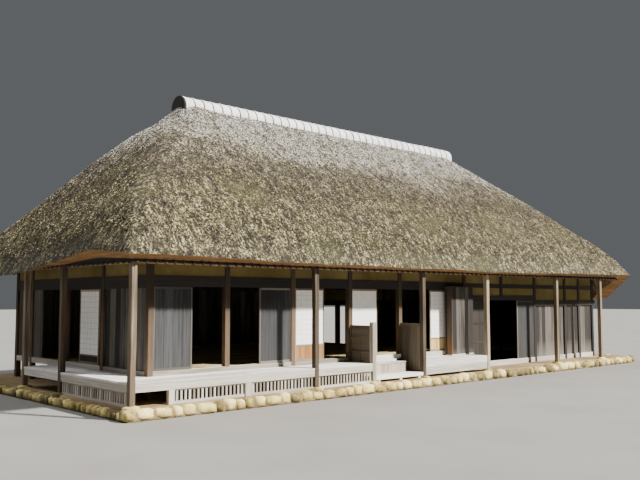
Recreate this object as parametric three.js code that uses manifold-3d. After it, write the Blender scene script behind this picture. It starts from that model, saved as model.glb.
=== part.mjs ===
// A thatched minka farmhouse: raised rooms on the left, an earth-floored hall on the right.
// House coordinates, in millimetres: x along the front from the front left wall corner,
// y back from the front wall line, z up from the top of the podium. One group moves them all
// so that the finished part has its origin under the middle of the roof, on the ground.
import * as THREE from "three";
import { ConvexGeometry } from "three/addons/geometries/ConvexGeometry.js";
import { mergeVertices } from "three/addons/utils/BufferGeometryUtils.js";
import Module from "manifold-3d";

const wasm = await Module();
wasm.setup();

// Driving dimensions
const KEN = 1818;                   // bay module between post centres
const SEAT = 0.3;                   // gap under a piece that slides or is cut to fit
const SEAM = 0.15;                  // half of the gap between two thatch slopes

const LENGTH = 9.5 * KEN;           // wall length along the front
const DEPTH = 3.5 * KEN;            // wall depth
const ROOMS_END = 5.5 * KEN;        // where the raised rooms stop and the earth floor starts

const POST = 60;                    // half width of a wall post
const OUTER_POST = 57;              // half width of an outer post
const OUTER_FRONT = -790;           // outer post line in front
const OUTER_BACK = DEPTH + 790;
const OUTER_LEFT = -810;
const OUTER_RIGHT = LENGTH + 799;

const PODIUM_DEPTH = 220;
const PODIUM = { left: -1050, right: 18350, front: -1050, back: DEPTH + 1050 };

const SILL_TOP = 545;               // rooms: sill under the sliding panels
const SILL_BOTTOM = 410;
const LINTEL_BOTTOM = 2190;         // rooms: grooved lintel over the panels
const LINTEL_TOP = 2400;
const SIDE_LINTEL_BOTTOM = 2150;    // the same on the left wall
const HALL_SILL_TOP = 145;          // hall: ground sill
const HALL_DOOR_TOP = 1905;         // hall: underside of the lintel over the main doorway
const HALL_DOOR_LINTEL = 2040;
const BOARDS_TOP = 1730;            // hall: top of the boarded walls
const BOARDS_RAIL = 1900;
const RAIL_BOTTOM = 2265;           // hall: thin rail that crosses the plaster
const RAIL_TOP = 2385;
const WALL_TOP = 2660;              // plaster and posts end here, under the wall plate
const PLATE_TOP = 2800;
const END_WALL_TOP = 2580;          // the right wall is lower, under the long end slope
const END_PLATE_TOP = 2712;

const OUTER_BEAM_BOTTOM = 2610;
const OUTER_BEAM_TOP = 2740;
const AISLE_BEAM_BOTTOM = 1787;     // right outer beam, under the low end of the thatch
const AISLE_BEAM_TOP = 1907;

const PLASTER = 35;                 // half thicknesses
const BOARDS = 20;
const RAIL = 45;

const FLOOR_TOP = 505;              // rooms
const FLOOR_THICK = 50;
const VERANDA_TOP = 450;
const VERANDA_BOARD = 40;
const EDGE_BEAM_BOTTOM = 270;
const LEFT_VERANDA_POSTS = [2050, 3900];

const LIP = 2700;                   // lip of the eaves
const SHOULDER = { share: 0.1, z: 3360 };  // a tenth of the way up, the thatch bends down to the lip
const RIDGE = { left: 2750, right: 13350, y: DEPTH / 2 - 1.5, z: 6980 };
const EAVES = { left: -1100, right: 18100, front: -1100, back: 2 * RIDGE.y + 1100 };
const END_EAVE = { x: 18600, front: 0, inset: 140, z: 1950, cutZ: 1898 };
const CUT_Z = 2600;                 // inner edge of the cut underside of the eaves
const RIDGE_THATCH = 250;           // thickness at the ridge, measured upright
const EAVE_CUT = 460;               // depth of the cut underside of the eaves
const RUN = RIDGE.y - EAVES.front;  // from the eaves to the ridge line, level
const CAP = { left: 2600, right: 13380, centre: 6765, outer: 310, inner: 250, board: 40 };

const DOOR_WIDTH = 890;
const HALL_DOOR_WIDTH = 920;
const RIGHT_SHOJI = 8550;           // left edges of the panels that stand clear of a post
const LEFT_HALL_DOOR = 10180;
const SIDE_DOOR = 1990;
const DOOR_THICK = 30;
const DOOR_HEADROOM = 8;
const SIDE_CLEAR = 6;
const TRACK = 25;                   // track centre lines lie this far from the wall line

const roomPosts = [0, 1, 2, 3, 4, 5.5].map((k) => k * KEN);
const MAIN_DOOR_END = 7.5 * KEN;    // post right of the main doorway
const STRUT = 6.5 * KEN;            // short strut over the main doorway
const frontHallPosts = [7.5, 8.5, 9].map((k) => k * KEN);
const BACK_DOOR_END = 6.5 * KEN;
const BACK_DOOR_JAMBS = [10520, 11140, 11380, 11640];
const backHallPosts = [6.5, 7.5, 8.5].map((k) => k * KEN);
const sidePosts = [1, 2, 3].map((k) => k * KEN);
const outerPosts = [2, 4, 5.5, 7.5, 9].map((k) => k * KEN);
const aislePosts = [1, 1.75, 2.5].map((k) => k * KEN);
const AISLE_INSET = 300;            // the right outer beam stops this far inside the wall corners
const STUB = 3 * KEN;               // short post that ends the veranda
const STUB_TOP = 1400;
const BENCH = 4 * KEN;              // the bench veranda starts here
const CASE_WALL = 9452;             // boards behind the shutter case start here
const CASE_WALL_HALF = 30;
const SIDE_BOARDS = 4900;           // boards on the left wall start here
const STEP_BEAM_BOTTOM = 365;       // beam at the step down from the rooms to the hall

// Colours of the pieces
const colours = {
  timber: [0x6b5a4a, 0.85], dark: [0x3a2f27, 0.85], grey: [0x8b8780, 0.9],
  plaster: [0x9a7f4c, 0.95], floor: [0xb9b4aa, 0.85], mat: [0xb3a76a, 0.9],
  paper: [0xf0efe8, 0.9], stone: [0xa39a80, 0.95], thatch: [0x9a9078, 1.0],
  cap: [0xc9ccd0, 0.8],
};

const house = new THREE.Group();
house.position.set(-(EAVES.left + END_EAVE.x) / 2, -RIDGE.y, PODIUM_DEPTH);

function add(name, geometry, colour) {
  const [color, roughness] = colours[colour];
  const mesh = new THREE.Mesh(geometry, new THREE.MeshStandardMaterial({ color, roughness, metalness: 0 }));
  mesh.name = name;
  house.add(mesh);
  return mesh;
}

// A box between two corners
function block(x0, x1, y0, y1, z0, z1) {
  const geometry = new THREE.BoxGeometry(x1 - x0, y1 - y0, z1 - z0);
  return geometry.translate((x0 + x1) / 2, (y0 + y1) / 2, (z0 + z1) / 2);
}

// A flat outline in x and y, with holes, raised from z0 to z1
function slab(points, z0, z1, holes = []) {
  const shape = new THREE.Shape(points.map(([x, y]) => new THREE.Vector2(x, y)));
  shape.holes = holes.map((hole) => new THREE.Path(hole.map(([x, y]) => new THREE.Vector2(x, y))));
  const geometry = new THREE.ExtrudeGeometry(shape, { depth: z1 - z0, bevelEnabled: false });
  return geometry.translate(0, 0, z0);
}

// Solids for cutting
function toSolid(geometry) {
  let bare = geometry.clone();
  bare.deleteAttribute("normal");
  bare.deleteAttribute("uv");
  bare = mergeVertices(bare, 1e-3);
  return new wasm.Manifold(new wasm.Mesh({
    numProp: 3,
    vertProperties: new Float32Array(bare.attributes.position.array),
    triVerts: new Uint32Array(bare.index.array),
  }));
}

function fromSolid(solid) {
  const mesh = solid.getMesh();
  const geometry = new THREE.BufferGeometry();
  geometry.setAttribute("position", new THREE.BufferAttribute(new Float32Array(mesh.vertProperties), 3));
  geometry.setIndex(new THREE.BufferAttribute(new Uint32Array(mesh.triVerts), 1));
  geometry.computeVertexNormals();
  return geometry;
}

function cut(geometry, cutters) {
  const solid = cutters.reduce((rest, cutter) => rest.subtract(toSolid(cutter)), toSolid(geometry));
  return fromSolid(solid);
}

const join = (geometries) => fromSolid(geometries.map(toSolid).reduce((all, next) => all.add(next)));

// Blocks that meet or overlap, joined into one piece
const joined = (list) => join(list.map((corners) => block(...corners)));

// One wall frame piece: long members run from end to end, uprights stand at the given places
const TENON = 20;                   // how far an upright runs into a member, out of sight
const alongX = (x0, x1, y, half, z0, z1) => [x0, x1, y - half, y + half, z0, z1];
const alongY = (y0, y1, x, half, z0, z1) => [x - half, x + half, y0, y1, z0, z1];

// Podium of rammed earth with a stone edge
function podium() {
  const { left, right, front, back } = PODIUM;
  add("podium", block(left, right, front, back, -PODIUM_DEPTH, 0), "stone");
}

const postAt = (x, y, z0, z1, half = POST) => [x - half, x + half, y - half, y + half, z0, z1];

// Outer frames: a beam on its posts
const beamPlans = {
  front: [OUTER_LEFT - POST, LENGTH + POST, OUTER_FRONT - POST, OUTER_FRONT + POST],
  back: [OUTER_LEFT - POST, LENGTH + POST, OUTER_BACK - POST, OUTER_BACK + POST],
  left: [OUTER_LEFT - POST, OUTER_LEFT + POST, OUTER_FRONT + POST, OUTER_BACK - POST],
};
const beamCorners = ([x0, x1, y0, y1], grow = 0) => [
  x0 - grow, x1 + grow, y0 - grow, y1 + grow, OUTER_BEAM_BOTTOM - grow, OUTER_BEAM_TOP + grow,
];

function outerFrames() {
  const intoBeam = OUTER_BEAM_BOTTOM + TENON;
  const inX = [OUTER_LEFT, ...outerPosts];
  add("outer_frame_front", joined([
    beamCorners(beamPlans.front),
    ...inX.map((x) => postAt(x, OUTER_FRONT, 0, intoBeam, OUTER_POST)),
  ]), "timber");
  add("outer_frame_back", joined([
    beamCorners(beamPlans.back),
    ...inX.map((x) => postAt(x, OUTER_BACK, 0, intoBeam, OUTER_POST)),
  ]), "timber");
  add("outer_frame_left", joined([
    beamCorners(beamPlans.left),
    ...LEFT_VERANDA_POSTS.map((y) => postAt(OUTER_LEFT, y, 0, intoBeam, OUTER_POST)),
  ]), "timber");
  add("outer_frame_right", joined([
    alongY(AISLE_INSET, DEPTH - AISLE_INSET, OUTER_RIGHT, POST, AISLE_BEAM_BOTTOM, AISLE_BEAM_TOP),
    ...aislePosts.map((y) => postAt(OUTER_RIGHT, y, 0, AISLE_BEAM_BOTTOM + TENON, OUTER_POST)),
  ]), "timber");
  add("stub_post", block(...postAt(STUB, OUTER_FRONT, 0, STUB_TOP, OUTER_POST)), "timber");
}

function wallPlates() {
  const inner = LENGTH - POST;
  add("wall_plate_front", block(...alongX(-POST, inner, 0, POST, WALL_TOP, PLATE_TOP)), "dark");
  add("wall_plate_back", block(...alongX(-POST, inner, DEPTH, POST, WALL_TOP, PLATE_TOP)), "dark");
  add("wall_plate_left", block(...alongY(POST, DEPTH - POST, 0, POST, WALL_TOP, PLATE_TOP)), "dark");
  const right = alongY(-POST, DEPTH + POST, LENGTH, POST, END_WALL_TOP, END_PLATE_TOP);
  add("wall_plate_right", block(...right), "dark");
}

// Raised rooms: a sill on short posts, a lintel on tall posts, and plaster over the lintel
function roomSill(name, run, postList, place) {
  const short = postList.map((at) => place(at - POST, at + POST, POST, 0, SILL_BOTTOM + TENON));
  add(name, joined([place(...run, POST, SILL_BOTTOM, SILL_TOP), ...short]), "grey");
}

function roomFrame(name, run, postList, place, lintelBottom) {
  const tall = postList.map((at) => place(at - POST, at + POST, POST, SILL_TOP, lintelBottom + TENON));
  add(name, joined([place(...run, POST, lintelBottom, LINTEL_TOP), ...tall]), "dark");
}

function roomUpperWall(name, run, postList, place) {
  const stubs = postList.map((at) => place(at - POST, at + POST, POST, LINTEL_TOP, WALL_TOP));
  add(name, joined([place(...run, PLASTER, LINTEL_TOP, WALL_TOP), ...stubs]), "plaster");
}

// Earth-floored hall: boards between ground sill and rail, plaster above, posts from bottom to top
function hallWall(run, postList, place, top) {
  return [
    place(...run, POST, 0, HALL_SILL_TOP),
    place(...run, BOARDS, HALL_SILL_TOP, BOARDS_TOP),
    place(...run, POST, BOARDS_TOP, BOARDS_RAIL),
    place(...run, PLASTER, BOARDS_RAIL, top),
    ...postList.map((at) => place(at - POST, at + POST, POST, 0, top)),
  ];
}

const onFront = (x0, x1, half, z0, z1) => alongX(x0, x1, 0, half, z0, z1);
const onBack = (x0, x1, half, z0, z1) => alongX(x0, x1, DEPTH, half, z0, z1);
const onLeft = (y0, y1, half, z0, z1) => alongY(y0, y1, 0, half, z0, z1);
const onRight = (y0, y1, half, z0, z1) => alongY(y0, y1, LENGTH, half, z0, z1);
const roomRun = [-POST, ROOMS_END + POST];
const sideRun = [POST, DEPTH - POST];

function frontWall() {
  roomSill("front_sill", roomRun, roomPosts.filter((x) => x !== KEN), onFront);
  roomFrame("front_room_frame", roomRun, roomPosts, onFront, LINTEL_BOTTOM);
  roomUpperWall("front_upper_wall", roomRun, roomPosts, onFront);
  const behindCase = onFront(CASE_WALL, ROOMS_END - POST, CASE_WALL_HALF, SILL_TOP, LINTEL_BOTTOM);
  add("front_case_wall", block(...behindCase), "grey");

  const door = [ROOMS_END + POST, MAIN_DOOR_END - POST];
  add("front_wall_over_door", joined([
    onFront(...door, POST, HALL_DOOR_TOP, HALL_DOOR_LINTEL),
    onFront(...door, PLASTER, HALL_DOOR_LINTEL, WALL_TOP),
    onFront(...door, RAIL, RAIL_BOTTOM, RAIL_TOP),
    onFront(STRUT - POST, STRUT + POST, POST, HALL_DOOR_LINTEL, WALL_TOP),
  ]), "plaster");
  const run = [MAIN_DOOR_END - POST, LENGTH - POST];
  add("front_hall_wall", joined([
    ...hallWall(run, frontHallPosts, onFront, WALL_TOP),
    onFront(...run, RAIL, RAIL_BOTTOM, RAIL_TOP),
  ]), "grey");
  add("main_door_sill", block(...onFront(...door, POST, 0, HALL_SILL_TOP)), "grey");
}

// Left wall: boards, a paper panel with an opening beside it, another opening, boards
function leftWall() {
  roomSill("left_sill", sideRun, sidePosts, onLeft);
  roomFrame("left_room_frame", sideRun, sidePosts, onLeft, SIDE_LINTEL_BOTTOM);
  roomUpperWall("left_upper_wall", sideRun, sidePosts, onLeft);
  const closed = {
    left_boards_front: [POST, KEN - POST],
    left_boards_middle: [SIDE_BOARDS, 3 * KEN - POST],
    left_boards_back: [3 * KEN + POST, DEPTH - POST],
  };
  for (const [name, run] of Object.entries(closed)) {
    add(name, block(...onLeft(...run, BOARDS, SILL_TOP, SIDE_LINTEL_BOTTOM)), "grey");
  }
}

// Back wall, finished from the front: closed rooms, and a back doorway into the hall
function backWall() {
  roomSill("back_sill", roomRun, roomPosts, onBack);
  add("back_room_wall", joined([
    onBack(...roomRun, BOARDS, SILL_TOP, LINTEL_BOTTOM),
    onBack(...roomRun, POST, LINTEL_BOTTOM, LINTEL_TOP),
    onBack(...roomRun, PLASTER, LINTEL_TOP, WALL_TOP),
    ...roomPosts.map((x) => onBack(x - POST, x + POST, POST, SILL_TOP, WALL_TOP)),
  ]), "timber");
  const bay = [ROOMS_END + POST, BACK_DOOR_END - POST];
  const [jambLeft, middleLeft, middleRight, jambRight] = BACK_DOOR_JAMBS;
  const hung = [[bay[0], jambLeft], [middleLeft, middleRight], [jambRight, bay[1]]];
  add("back_door_wall", joined([
    onBack(...bay, POST, BOARDS_TOP, BOARDS_RAIL),
    onBack(...bay, PLASTER, BOARDS_RAIL, WALL_TOP),
    onBack(...bay, RAIL, RAIL_BOTTOM, RAIL_TOP),
    ...hung.map(([x0, x1]) => onBack(x0, x1, BOARDS, HALL_SILL_TOP, BOARDS_TOP + TENON)),
  ]), "grey");
  const run = [BACK_DOOR_END - POST, LENGTH - POST];
  add("back_hall_wall", joined([
    ...hallWall(run, backHallPosts, onBack, WALL_TOP),
    onBack(...run, RAIL, RAIL_BOTTOM, RAIL_TOP),
  ]), "grey");
  add("back_door_sill", block(...onBack(...bay, POST, 0, HALL_SILL_TOP)), "grey");
}

function rightWall() {
  const run = [-POST, DEPTH + POST];
  add("right_wall", joined(hallWall(run, [0, ...sidePosts, DEPTH], onRight, END_WALL_TOP)), "grey");
}

// Floors
function floors() {
  const near = ROOMS_END - POST;
  add("room_floor", block(POST, near, POST, DEPTH - POST, FLOOR_TOP - FLOOR_THICK, FLOOR_TOP), "mat");
  const beam = [near, ROOMS_END + POST, POST, DEPTH - POST, STEP_BEAM_BOTTOM, FLOOR_TOP];
  add("hall_step_beam", block(...beam), "dark");
}

// Veranda round the left and the front, with edge beams and lattices under it
const EDGE = 7;                     // the floor stops this far inside the posts' outer faces
const frontEdge = OUTER_FRONT - OUTER_POST + EDGE;
const leftEdge = OUTER_LEFT - OUTER_POST + EDGE;
const SCREEN = { half: 20, leftTop: 1320, rightTop: 1330 };
const screenFace = STUB - SCREEN.half;

function verandaFloors() {
  const z0 = VERANDA_TOP - VERANDA_BOARD;
  const inFront = OUTER_FRONT + OUTER_POST;
  const inLeft = OUTER_LEFT + OUTER_POST;
  const e = outerPosts[0];
  const front = [
    [inLeft, frontEdge], [e - OUTER_POST, frontEdge], [e - OUTER_POST, inFront],
    [e + OUTER_POST, inFront], [e + OUTER_POST, frontEdge], [STUB - OUTER_POST, frontEdge],
    [STUB - OUTER_POST, inFront], [screenFace, inFront], [screenFace, -POST],
    [leftEdge, -POST], [leftEdge, inFront], [inLeft, inFront],
  ];
  add("veranda_floor_front", slab(front, z0, VERANDA_TOP), "floor");
  const [near, far] = LEFT_VERANDA_POSTS;
  const left = [
    [-POST, -POST], [-POST, far + OUTER_POST], [inLeft, far + OUTER_POST], [inLeft, far - OUTER_POST],
    [leftEdge, far - OUTER_POST], [leftEdge, near + OUTER_POST], [inLeft, near + OUTER_POST],
    [inLeft, near - OUTER_POST], [leftEdge, near - OUTER_POST], [leftEdge, -POST],
  ];
  add("veranda_floor_left", slab(left, z0, VERANDA_TOP), "floor");
}

// Under the veranda: an edge beam over a lattice of bars between two rails
const LATTICE = { pitch: 94, bar: 22.5, bottom: 55, top: 245, half: 20 };
const EDGE_BEAM = 45;               // half width of the edge beam
const STRUTS = [[-55, 73], [1710, 1870]];

function lattice(x0, x1) {
  const { pitch, bar, bottom, top, half } = LATTICE;
  const count = Math.floor((x1 - x0) / pitch);
  const first = (x0 + x1 - (count - 1) * pitch) / 2;
  const bars = Array.from({ length: count }, (_, i) => first + i * pitch);
  return [
    alongX(x0, x1, 0, half, 0, bottom),
    alongX(x0, x1, 0, half, top, EDGE_BEAM_BOTTOM + TENON),
    ...bars.map((x) => alongX(x - bar, x + bar, 0, half - 5, bottom - TENON, top + TENON)),
  ];
}

function verandaSkirts() {
  const under = VERANDA_TOP - VERANDA_BOARD;
  const start = OUTER_LEFT + OUTER_POST;
  const e = outerPosts[0];
  const beam = (x0, x1) => alongX(x0, x1, 0, EDGE_BEAM, EDGE_BEAM_BOTTOM, under);
  const strut = (x0, x1) => alongX(x0, x1, 0, EDGE_BEAM, 0, EDGE_BEAM_BOTTOM + TENON);
  const atFront = (list) => joined(list).translate(0, OUTER_FRONT, 0);
  const first = [start, e - OUTER_POST];
  const struts = STRUTS.map(([x0, x1]) => strut(x0, x1));
  const bars = lattice(0, e - OUTER_POST);
  add("veranda_skirt_left", atFront([beam(...first), ...bars, ...struts]), "grey");
  const last = [e + OUTER_POST, STUB - OUTER_POST];
  add("veranda_skirt_right", atFront([beam(...last), ...lattice(...last)]), "grey");
  const atSide = (list) => joined(list).rotateZ(Math.PI / 2).translate(OUTER_LEFT, 0, 0);
  const [near, far] = LEFT_VERANDA_POSTS;
  const side = [OUTER_FRONT + OUTER_POST, near - OUTER_POST];
  add("veranda_skirt_side", atSide([beam(...side), ...lattice(...side)]), "grey");
  add("veranda_side_beam", atSide([beam(near + OUTER_POST, far - OUTER_POST)]), "grey");
}

// Entry bay with its wing screens, step and platform, then the bench veranda
const PLATFORM_TOP = 140;
const STEP = { right: 7060, front: -440, top: 400 };
const BENCH_TOP = 420;
const BENCH_BOARD = { bottom: 60, front: OUTER_FRONT - 40 };

function entry() {
  const inFront = OUTER_FRONT + OUTER_POST;
  const { half, leftTop, rightTop } = SCREEN;
  const leftFoot = VERANDA_TOP - VERANDA_BOARD;
  add("wing_screen_left", block(STUB - half, STUB + half, inFront, -POST, leftFoot, leftTop), "dark");
  const right = [BENCH - half, BENCH + half, inFront, -POST, PLATFORM_TOP, rightTop];
  add("wing_screen_right", block(...right), "timber");
  const x = [STUB + OUTER_POST, BENCH - OUTER_POST];
  add("entry_platform", block(...x, frontEdge, -POST, 0, PLATFORM_TOP), "floor");
  const step = [STUB + half + 4, STEP.right, STEP.front, -POST, PLATFORM_TOP, STEP.top];
  add("entry_step", block(...step), "timber");
  const benchEnd = ROOMS_END - OUTER_POST;
  const seat = [BENCH + half, benchEnd, inFront, -POST, BENCH_TOP - VERANDA_BOARD, BENCH_TOP];
  add("bench_floor", block(...seat), "floor");
  const board = [BENCH + OUTER_POST, benchEnd, BENCH_BOARD.front, inFront, BENCH_BOARD.bottom, BENCH_TOP];
  add("bench_front", block(...board), "floor");
}

// Shutter case: a tall box that stands forward of the wall, with an upright slot in its left side
const CASE = { x0: 9090, x1: ROOMS_END + POST, y0: -305, z1: 2290, wall: 30, slot: 40 };

function shutterCase() {
  const { x0, x1, y0, z1, wall, slot } = CASE;
  const [z0, back] = [BENCH_TOP, -POST - wall];
  const inside = block(x0 + wall, x1 - wall, y0 + wall, back, z0 + wall, z1 - wall);
  const way = block(x0 - wall, x0 + 2 * wall, back - slot, back, z0 + wall, z1 - wall);
  add("shutter_case", cut(block(x0, x1, y0, -POST, z0, z1), [inside, way]), "grey");
}

// Sliding panels. Each has a mesh of its own and stands in the grooves of its bay.
function slidingPanels() {
  const low = SILL_TOP + SEAT;
  const high = LINTEL_BOTTOM - DOOR_HEADROOM;
  const half = DOOR_THICK / 2;
  const panel = (name, x0, width, track, z0, z1, colour) =>
    add(name, block(x0, x0 + width, track - half, track + half, z0, z1), colour);
  const afterPost = (x) => x + POST + SIDE_CLEAR;
  const beforePost = (x) => x - POST - SIDE_CLEAR - DOOR_WIDTH;
  panel("board_door_left", afterPost(0), DOOR_WIDTH, -TRACK, low, high, "grey");
  panel("board_door_right", beforePost(2 * KEN), DOOR_WIDTH, -TRACK, low, high, "grey");
  panel("shoji_middle", afterPost(2 * KEN), DOOR_WIDTH, -TRACK, low, high, "paper");
  panel("paper_door", afterPost(3 * KEN), DOOR_WIDTH, -TRACK, low, high, "paper");
  panel("shoji_right", RIGHT_SHOJI, DOOR_WIDTH, TRACK, low, high, "paper");
  const hallLow = HALL_SILL_TOP + SEAT;
  const hallHigh = HALL_DOOR_TOP - DOOR_HEADROOM;
  const lastLeaf = MAIN_DOOR_END - POST - SIDE_CLEAR - HALL_DOOR_WIDTH;
  panel("main_door_left", LEFT_HALL_DOOR, HALL_DOOR_WIDTH, TRACK, hallLow, hallHigh, "dark");
  panel("main_door_right", lastLeaf, HALL_DOOR_WIDTH, -TRACK, hallLow, hallHigh, "grey");
  const sideHigh = SIDE_LINTEL_BOTTOM - DOOR_HEADROOM;
  const side = [-TRACK - half, -TRACK + half, SIDE_DOOR, SIDE_DOOR + DOOR_WIDTH, low, sideHigh];
  add("side_paper_door", block(...side), "paper");
}

// Thatch: four slopes that meet at upright planes through the hips and the ridge
const point = (x, y, z) => new THREE.Vector3(x, y, z);

function thatch() {
  const ends = ["left", "right"];
  const upHip = (s, y, share, z) =>
    point(EAVES[s] + share * (RIDGE[s] - EAVES[s]), y + share * (RIDGE.y - y), z);
  const hip = (s, y) => [
    upHip(s, y, 0, LIP), upHip(s, y, EAVE_CUT / RUN, CUT_Z), upHip(s, y, SHOULDER.share, SHOULDER.z),
    upHip(s, y, 1, RIDGE.z), upHip(s, y, 1, RIDGE.z - RIDGE_THATCH),
  ];

  const { front, back, left } = beamPlans;
  const wholeLeft = [left[0], left[1], front[2], back[3]];
  const notches = [joined([front, back, wholeLeft].map((plan) => beamCorners(plan, SEAT)))];
  const slope = (name, points, dx, dy) =>
    add(name, cut(new ConvexGeometry(points).translate(dx * SEAM, dy * SEAM, 0), notches), "thatch");
  for (const [name, y, d] of [["thatch_front", EAVES.front, 1], ["thatch_back", EAVES.back, -1]]) {
    slope(name, ends.flatMap((s) => hip(s, y)), 0, -d);
  }
  slope("thatch_left", [...hip("left", EAVES.front), ...hip("left", EAVES.back)], -1, 0);

  const { x, front: near, inset, z, cutZ } = END_EAVE;
  const far = EAVES.front + EAVES.back - near;
  slope("thatch_right", [
    ...hip("right", EAVES.front), ...hip("right", EAVES.back), point(x, near, z), point(x, far, z),
    point(x - EAVE_CUT, near + inset, cutZ), point(x - EAVE_CUT, far - inset, cutZ),
  ], 1, 0);
}

// Ridge: a half-round cap over the thatch, closed by a board at each end
function ridge() {
  const { left, right, centre, outer, inner, board } = CAP;
  const pitch = (length) => (RIDGE.z - SHOULDER.z) / ((1 - SHOULDER.share) * length);
  const seat = (r) => RIDGE.z - r * pitch(RUN) + SEAT;
  const shape = new THREE.Shape();
  shape.moveTo(outer, seat(outer));
  shape.lineTo(outer, centre);
  shape.absarc(0, centre, outer, 0, Math.PI, false);
  shape.lineTo(-outer, seat(outer));
  shape.lineTo(-inner, seat(inner));
  shape.lineTo(-inner, centre);
  shape.absarc(0, centre, inner, Math.PI, 0, true);
  shape.lineTo(inner, seat(inner));
  const turned = (geometry, x) => geometry.rotateX(Math.PI / 2).rotateZ(Math.PI / 2).translate(x, RIDGE.y, 0);
  const settings = { bevelEnabled: false, curveSegments: 12 };
  const cap = new THREE.ExtrudeGeometry(shape, { ...settings, depth: right - left });
  add("ridge_cap", turned(cap, left), "cap");

  const fits = inner - 1;
  const endBoard = (crest) => {
    const crown = (RIDGE.z - crest) / pitch(RUN);
    const face = new THREE.Shape();
    face.moveTo(fits, seat(fits));
    face.lineTo(fits, centre);
    face.absarc(0, centre, fits, 0, Math.PI, false);
    face.lineTo(-fits, seat(fits));
    face.lineTo(-crown, crest + SEAT);
    face.lineTo(crown, crest + SEAT);
    return new THREE.ExtrudeGeometry(face, { ...settings, depth: board });
  };
  const crestAt = (past, length) => RIDGE.z - Math.max(past * pitch(length), SEAT);
  const leftCrest = crestAt(RIDGE.left - left - board, RIDGE.left - EAVES.left);
  const rightCrest = crestAt(right - board - RIDGE.right, EAVES.right - RIDGE.right);
  add("ridge_end_left", turned(endBoard(leftCrest), left), "dark");
  add("ridge_end_right", turned(endBoard(rightCrest), right - board), "dark");
}

podium();
outerFrames();
wallPlates();
frontWall();
leftWall();
backWall();
rightWall();
floors();
verandaFloors();
verandaSkirts();
entry();
shutterCase();
slidingPanels();
thatch();
ridge();

const farmhouse = new THREE.Group();
farmhouse.add(house);
export default farmhouse;
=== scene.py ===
"""A thatched minka farmhouse, dressed over its solid frame.

House coordinates, in metres: x along the front from the front left wall corner, y back from the
front wall line, z up from the top of the podium. Every mesh moves by HOUSE when it is finished.
"""
import math
import random
from itertools import pairwise

import bmesh
import bpy
from mathutils import Matrix, Vector, noise


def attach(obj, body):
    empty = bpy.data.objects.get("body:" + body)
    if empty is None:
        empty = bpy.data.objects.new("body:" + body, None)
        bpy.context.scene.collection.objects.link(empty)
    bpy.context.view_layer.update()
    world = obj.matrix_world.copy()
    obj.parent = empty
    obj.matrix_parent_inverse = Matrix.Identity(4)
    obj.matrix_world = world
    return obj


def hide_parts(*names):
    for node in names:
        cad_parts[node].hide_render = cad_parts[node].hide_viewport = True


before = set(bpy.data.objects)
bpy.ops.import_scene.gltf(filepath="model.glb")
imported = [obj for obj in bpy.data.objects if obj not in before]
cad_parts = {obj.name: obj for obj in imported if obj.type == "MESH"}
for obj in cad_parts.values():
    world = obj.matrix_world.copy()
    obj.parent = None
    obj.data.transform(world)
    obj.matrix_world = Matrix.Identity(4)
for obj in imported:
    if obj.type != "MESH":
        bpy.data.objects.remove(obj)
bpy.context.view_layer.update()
noise.seed_set(7)

# The house's own dimensions, as in its frame; POST and OUTER_POST are half widths
HOUSE = Vector((-8.75, -3.18, 0.22))
KEN = 1.818
LENGTH, DEPTH, ROOMS_END = 9.5 * KEN, 3.5 * KEN, 5.5 * KEN
POST, OUTER_POST = 0.06, 0.057
OUTER_FRONT, OUTER_BACK, OUTER_LEFT, OUTER_RIGHT = -0.79, DEPTH + 0.79, -0.81, LENGTH + 0.799
FRONT_INNER, LEFT_INNER = OUTER_FRONT + OUTER_POST, OUTER_LEFT + OUTER_POST
STUB, BENCH, STRUT = 3 * KEN, 4 * KEN, 6.5 * KEN

# Levels, each a foot and a top
SILL, LINTEL, PLATE, RIGHT_PLATE = (0.41, 0.545), (2.19, 2.40), (2.66, 2.80), (2.58, 2.712)
SIDE_LINTEL, DOOR_LINTEL, RAIL = (2.15, 2.40), (1.905, 2.04), (2.265, 2.385)
OUTER_BEAM, AISLE_BEAM = (2.61, 2.74), (1.787, 1.907)
VERANDA, EDGE_BEAM = (0.41, 0.45), (0.27, 0.41)
ROOM_PANEL, HALL_PANEL = (0.5453, 2.182), (0.1453, 1.897)
HALL_SILL, BOARDS_TOP, BOARDS_RAIL = 0.145, 1.73, 1.90

# Where posts stand along each side
ROOM_POSTS = [k * KEN for k in (0, 1, 2, 3, 4, 5.5)]
OUTER_POSTS = [k * KEN for k in (2, 4, 5.5, 7.5, 9)]
SIDE_POSTS = [k * KEN for k in (1, 2, 3)]
FRONT_HALL_POSTS = [k * KEN for k in (7.5, 8.5, 9)]
BACK_HALL_POSTS = [k * KEN for k in (6.5, 7.5, 8.5)]
RIGHT_POSTS = [0, *SIDE_POSTS, DEPTH]
LONG_ROW, VERANDA_POSTS = [OUTER_LEFT, *OUTER_POSTS], (2.05, 3.9)
AISLE_POSTS = [k * KEN for k in (1, 1.75, 2.5)]

# Stretches of wall
ROOM_RUN, SIDE_RUN = (-POST, ROOMS_END + POST), (POST, DEPTH - POST)
RIGHT_RUN = (-POST, DEPTH + POST)
MAIN_DOOR = (ROOMS_END + POST, 7.5 * KEN - POST)
FRONT_HALL, BACK_HALL = (MAIN_DOOR[1], LENGTH - POST), (STRUT - POST, LENGTH - POST)
BACK_BAY, BACK_DOOR = (ROOMS_END + POST, STRUT - POST), (10.52, 11.14, 11.38, 11.64)
CASE_START = 9.452
BOARD_GAP = 0.0015


# Nodes and finishes

def give(socket, value):
    """Sets a node's input, or joins it to another node's output."""
    if isinstance(value, bpy.types.NodeSocket):
        socket.id_data.links.new(value, socket)
    else:
        socket.default_value = value


def add_node(tree, kind, values=None, **settings):
    made = tree.nodes.new(kind)
    for key, value in settings.items():
        setattr(made, key, value)
    for key, value in (values or {}).items():
        give(made.inputs[key], value)
    return made


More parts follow.
